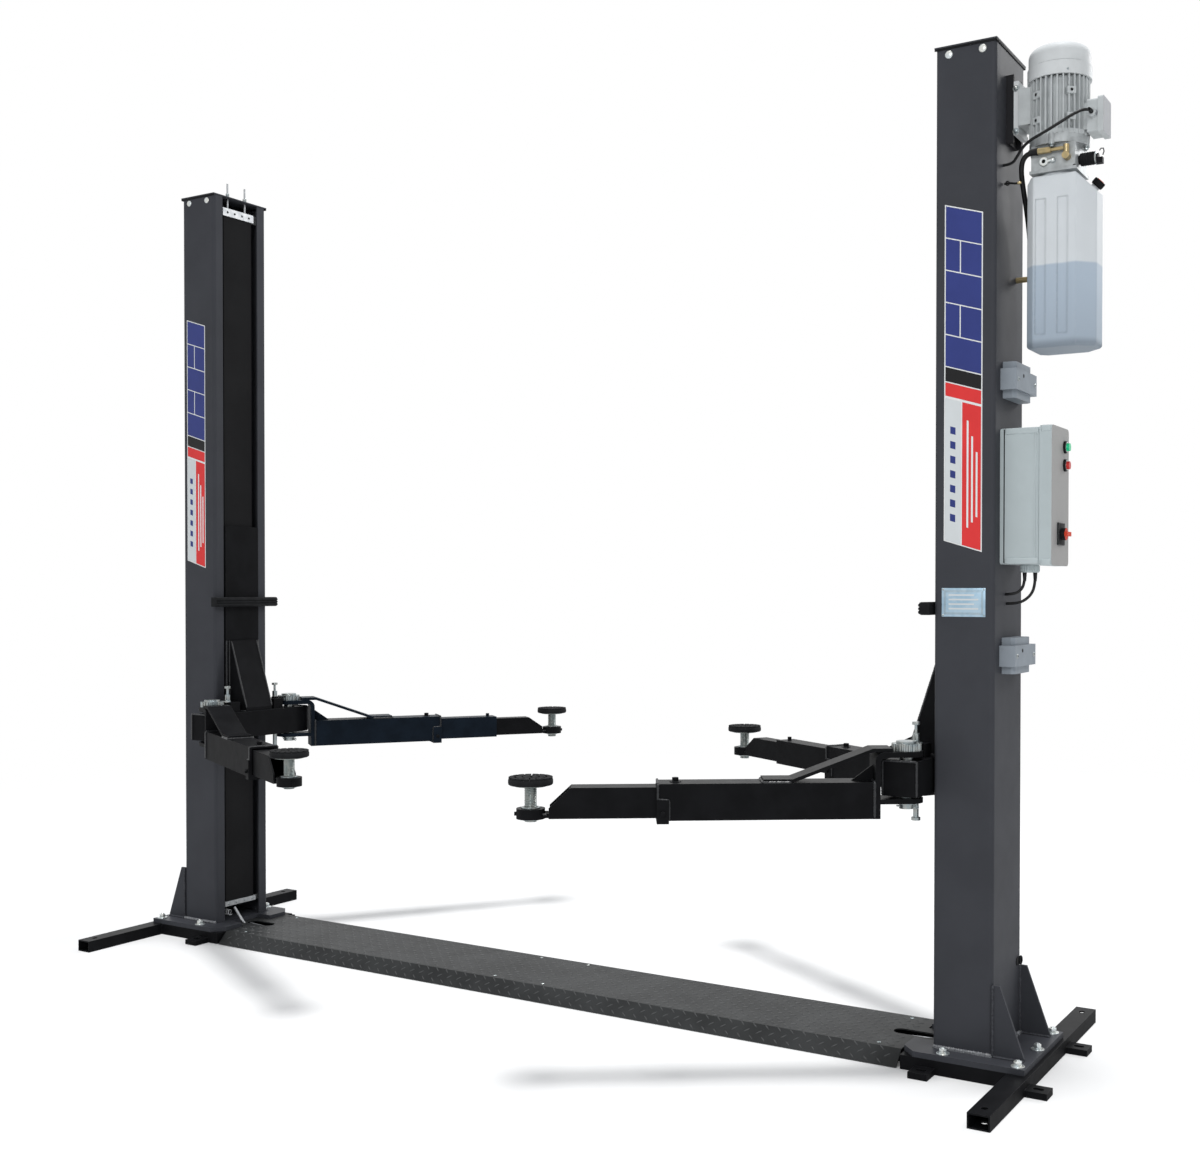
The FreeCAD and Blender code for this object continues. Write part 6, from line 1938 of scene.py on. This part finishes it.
@dataclass
class PowerUnit:
    """Fasteners, plugs and leads of the motor, the pump and the tank."""

    axis: float = 1.744
    motor: float = 2.556
    pump: float = 2.466
    boss_reach: float = 0.084
    boss_levels: tuple[float, float] = (0.043, 0.112)
    bell_reach: float = 0.074
    skirt_reach: float = 0.0860
    seam_level: float = 2.7484
    skirt_level: float = 2.722
    bracket_x: float = 1.635
    bracket_half: float = 0.040
    bracket_levels: tuple[float, float] = (2.589, 2.706)
    eye: Point = (1.720, -0.0595, 2.487)
    plug: Point = (1.7440, -0.0600, 2.4888)
    coil: Point = (1.8125, -0.020, 2.490)
    coil_pitch: float = 0.0066
    cap_foot: Point = (1.84424, 0.0, 2.41924)
    clip: Point = (1.6185, -0.060, 2.4440)

    def round_motor(self, angle: float, reach: float, z: float) -> tuple[Vector, Vector]:
        """A place on the motor's round side.

        Args:
            angle: Its direction from the X axis, in radians.
            reach: Its distance from the motor's axis.
            z: Its height.

        Returns:
            The place and the direction away from the axis.
        """
        away = Vector((math.cos(angle), math.sin(angle), 0.0))
        return Vector((self.axis, 0.0, z)) + away * reach, away

    def bosses(self) -> None:
        """Tapped holes in the motor's eight bosses: a cast rim round a black disc of painted shade where the
        hole is.
        """
        draft = Draft("boss_holes", BLACK_PLASTIC, CAST_METAL)
        for angle in (52.0, 122.0, -52.0, -122.0):
            for level in self.boss_levels:
                base, away = self.round_motor(math.radians(angle), self.boss_reach, self.motor + level)
                draft.use(CAST_METAL).ring(0.0042, 0.0062, 0.0006, base, away, 20)
                # Painted shade: a thin black disc for the dark inside of the hole.
                draft.use(BLACK_PLASTIC).disc(0.0042, 0.0002, base, away, 20)
        draft.finish("root", "motor_paint")

    def screws(self) -> None:
        """Bell bolts, the tank's flange screws and the bracket's nuts."""
        draft = Draft("power_unit_screws", ZINC, BLACK_PLASTIC)
        for angle in around(4):
            base, _ = self.round_motor(angle, self.bell_reach, self.pump + 0.062)
            draft.use(ZINC).bolt(base, (0, 0, -1), 0.010, 0.0012)
        for x, y in ((-0.057, -0.055), (0.057, -0.057), (-0.057, 0.055), (0.057, 0.057)):
            draft.use(BLACK_PLASTIC).dome((self.axis + x, y, self.pump), UP, 0.0052, 0.0055, 0.0026)
        for way in (-1, 1):
            for z in self.bracket_levels:
                draft.use(ZINC).bolt((self.bracket_x, way * self.bracket_half, z), (0, way, 0), 0.010,
                                     0.0012, 0.002)
        draft.finish("root", "zinc_plate")

    def fittings(self) -> None:
        """Banjo plug, coil ring, cable loop and the plugs of the pump."""
        draft = Draft("pump_fittings", ZINC, BLACK_PLASTIC, BRIGHT_ZINC)
        front = (0, -1, 0)
        draft.use(BRIGHT_ZINC).turned([(0.0052, 0.0), (0.0118, 0.0), (0.0122, 0.0015), (0.0122, 0.0070),
                                       (0.0112, 0.0082), (0.0052, 0.0082)], self.eye, front, 32, closed=True)
        draft.use(BLACK_PLASTIC).disc(0.0053, 0.0062, self.eye, front, 20)
        draft.use(BRIGHT_ZINC).tube([(1.7300, -0.0640, 2.4875), (1.7430, -0.0650, 2.4885)],
                                    lambda index: (0.0050, 0.0036)[index], 12)
        draft.dome(self.plug, front, 0.0082, 0.0095)
        x, y, z = self.coil
        draft.use(ZINC).turned([(0.0125, 0.0), (0.0175, 0.0), (0.0178, 0.003), (0.0150, 0.0042),
                                (0.0125, 0.0042)], (x + 0.0355, y, z), (1, 0, 0), 32, closed=True)
        for step in range(5):
            draft.use(BLACK_PLASTIC).turned(
                [(0.0169, 0.0), (0.0178, 0.0008), (0.0178, 0.0026), (0.0169, 0.0034)],
                (x + self.coil_pitch * step, y, z), (1, 0, 0), 32, closed=True)
        loop = [(1.858, -0.020, 2.508), (1.862, -0.021, 2.513), (1.869, -0.022, 2.512),
                (1.8712, -0.024, 2.503), (1.868, -0.024, 2.494)]
        draft.tube(loop, 0.0016, 8)
        draft.finish("root", "brass")

    def cowl_seam(self) -> None:
        """Painted shade as a dark ring where the cowl steps in, and the screws of its skirt."""
        draft = Draft("cowl_seam", STEP_SHADE, ZINC)
        # Painted shade: a thin dark ring at the step.
        draft.use(STEP_SHADE).ring(0.0822, 0.0834, 0.0011, (self.axis, 0.0, self.seam_level), UP, 72)
        for angle in (-150.0, -60.0, 30.0, 120.0):
            base, away = self.round_motor(math.radians(angle), self.skirt_reach, self.skirt_level)
            draft.use(ZINC).dome(base, away, 0.0034, 0.0016, 0.0015)
        draft.finish("root", "cowl_paint")

    def cap(self) -> None:
        """Ribbed skirt and warm coloured top of the tank's cap."""
        draft = Draft("tank_cap_trim", BLACK_PLASTIC, ORANGE_PLASTIC)
        lean = math.sqrt(0.5)
        base, away = Vector(self.cap_foot), Vector((lean, 0.0, lean))
        across, beside = Vector((lean, 0.0, -lean)), Vector((0.0, 1.0, 0.0))
        for turn in around(24):
            rib = base + (across * math.cos(turn) + beside * math.sin(turn)) * 0.0161
            draft.use(BLACK_PLASTIC).tube([rib + away * 0.003, rib + away * 0.016], 0.0010, 5)
        draft.use(ORANGE_PLASTIC).turned([(0.0, 0.0), (0.0115, 0.0), (0.0105, 0.0012), (0.0, 0.0012)],
                                         base + away * 0.018, away, 28)
        draft.finish("root", "black_plastic")

    def return_line(self) -> None:
        """Thin return line behind the hose, clipped to the post, with its brass nipple."""
        draft = Draft("return_line", CABLE_BLACK, BRASS)
        line = [(1.609, -0.060, 2.4435), (1.618, -0.060, 2.4440), (1.630, -0.061, 2.4425),
                (1.641, -0.062, 2.4395), (1.650, -0.066, 2.4390)]
        draft.use(CABLE_BLACK).tube(line, 0.0028, 10)
        x, y, z = self.clip
        clip = [(x + 0.0052 * math.cos(turn), y, z + 0.0052 * math.sin(turn)) for turn in around(16)]
        draft.tube(clip, 0.0018, 8, closed=True)
        draft.use(BRASS).turned([(0.0, 0.0), (0.0042, 0.0), (0.0042, 0.007), (0.0026, 0.010), (0.0, 0.010)],
                                (1.649, -0.066, 2.439), (1, 0, 0), 18)
        draft.finish("root", "cable_sheath")

    def build(self) -> None:
        """Fit everything on the power unit."""
        self.bosses()
        self.screws()
        self.fittings()
        self.cowl_seam()
        self.cap()
        self.return_line()


# Control box


@dataclass
class ControlBox:
    """Beads, collars, switch plate and gland of the control box."""

    face: float = 1.751
    half: float = 0.080
    bottom: float = 1.400
    top: float = 1.772
    bead: float = 0.017
    buttons_y: float = 0.042
    buttons_z: tuple[float, float] = (1.724, 1.674)
    switch: tuple[float, float, float] = (0.0308, 1.4522, 1.5138)
    gland: Point = (1.670, -0.008)
    gland_low: float = 1.3782
    gland_ribs: int = 20

    def beads(self) -> None:
        """Half round bead along both ends of the side faces, the joint's two ridges, and a black strip of
        painted shade by the post.
        """
        draft = Draft("box_beads", BOX_GREY, BLACK_PLASTIC)

        def strip(end: int, x: Point, depth: Point, z: Point, rounding: float, steps: int) -> None:
            """A bar on one side face, between two places along each axis."""
            first, last = sorted(end * (self.half + part) for part in depth)
            draft.block((x[0], first, z[0]), (x[1], last, z[1]), rounding, steps)

        for end in (-1, 1):
            draft.use(BOX_GREY)
            for low in (self.bottom + 0.001, self.top - 0.018):
                strip(end, (1.6215, 1.7145), (-0.003, 0.0034), (low, low + self.bead), 0.0052, 4)
            for left in (1.7020, 1.7105):
                strip(end, (left, left + 0.0048), (-0.003, 0.0016), (self.bottom + 0.016, self.top - 0.016),
                      0.0014, 2)
            for low in (self.bottom - 0.003, self.top - 0.014):
                strip(end, (1.7225, 1.7490), (0.001, 0.0072), (low, low + self.bead), 0.0046, 4)
            # Painted shade: a thin black strip along each side face near the post, for the dark gap between box
            # and post.
            draft.use(BLACK_PLASTIC)
            strip(end, (1.6172, 1.6204), (-0.003, 0.0003), (self.bottom + 0.004, self.top - 0.004), 0.0, 2)
        draft.finish("root", "light_plastic")

    def collars(self) -> None:
        """Black collars round both buttons and the plate under the switch."""
        draft = Draft("button_collars", BLACK_PLASTIC, ZINC)
        for z in self.buttons_z:
            draft.use(BLACK_PLASTIC).turned(
                [(0.0122, 0.0), (0.0172, 0.0), (0.0172, 0.0030), (0.0158, 0.0066), (0.0122, 0.0066)],
                (self.face, self.buttons_y, z), (1, 0, 0), 32, closed=True)
            draft.use(ZINC).ring(0.0122, 0.0140, 0.0010, (self.face + 0.0064, self.buttons_y, z), (1, 0, 0), 32)
        half, low, high = self.switch
        draft.use(BLACK_PLASTIC).block((self.face, -half, low), (self.face + 0.00515, half, high), 0.0018, 3)
        draft.finish("root", "black_plastic")

    def gland_nut(self) -> None:
        """Ribbed nut of the cable gland."""
        draft = Draft("gland_ribs", BOX_GREY)
        line = []
        for step in range(self.gland_ribs):
            for way, reach in ((-0.25, 0.0252), (0.0, 0.0268), (0.25, 0.0268), (0.5, 0.0252)):
                turn = 2.0 * math.pi * (step + way) / self.gland_ribs
                line.append((reach * math.cos(turn), reach * math.sin(turn)))
        draft.prism(line, 0.015, Matrix.Translation((*self.gland, self.gland_low + 0.0033)))
        draft.turned([(0.0105, 0.0), (0.0235, 0.0), (0.0255, 0.002), (0.0255, 0.0035), (0.0105, 0.0035)],
                     (*self.gland, self.gland_low), UP, 32, closed=True)
        draft.finish("root", "light_plastic")

    def build(self) -> None:
        """Fit everything on the control box."""
        self.beads()
        self.collars()
        self.gland_nut()


def main() -> None:
    """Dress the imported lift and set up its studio."""
    logging.basicConfig(level=logging.INFO, format="%(name)s: %(message)s")
    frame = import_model()
    PAINTS.dress_frame(frame["nodes"])
    builders = (Studio(), Leads(), *map(Post, Side), Tread(), *map(DustCover, Side), Clamps(), *DECALS,
                RatingPlate(), *map(CarriageDress, Side), *map(ArmDress, ARMS), PowerUnit(), ControlBox())
    for builder in builders:
        builder.build()


if __name__ == "__main__":
    main()
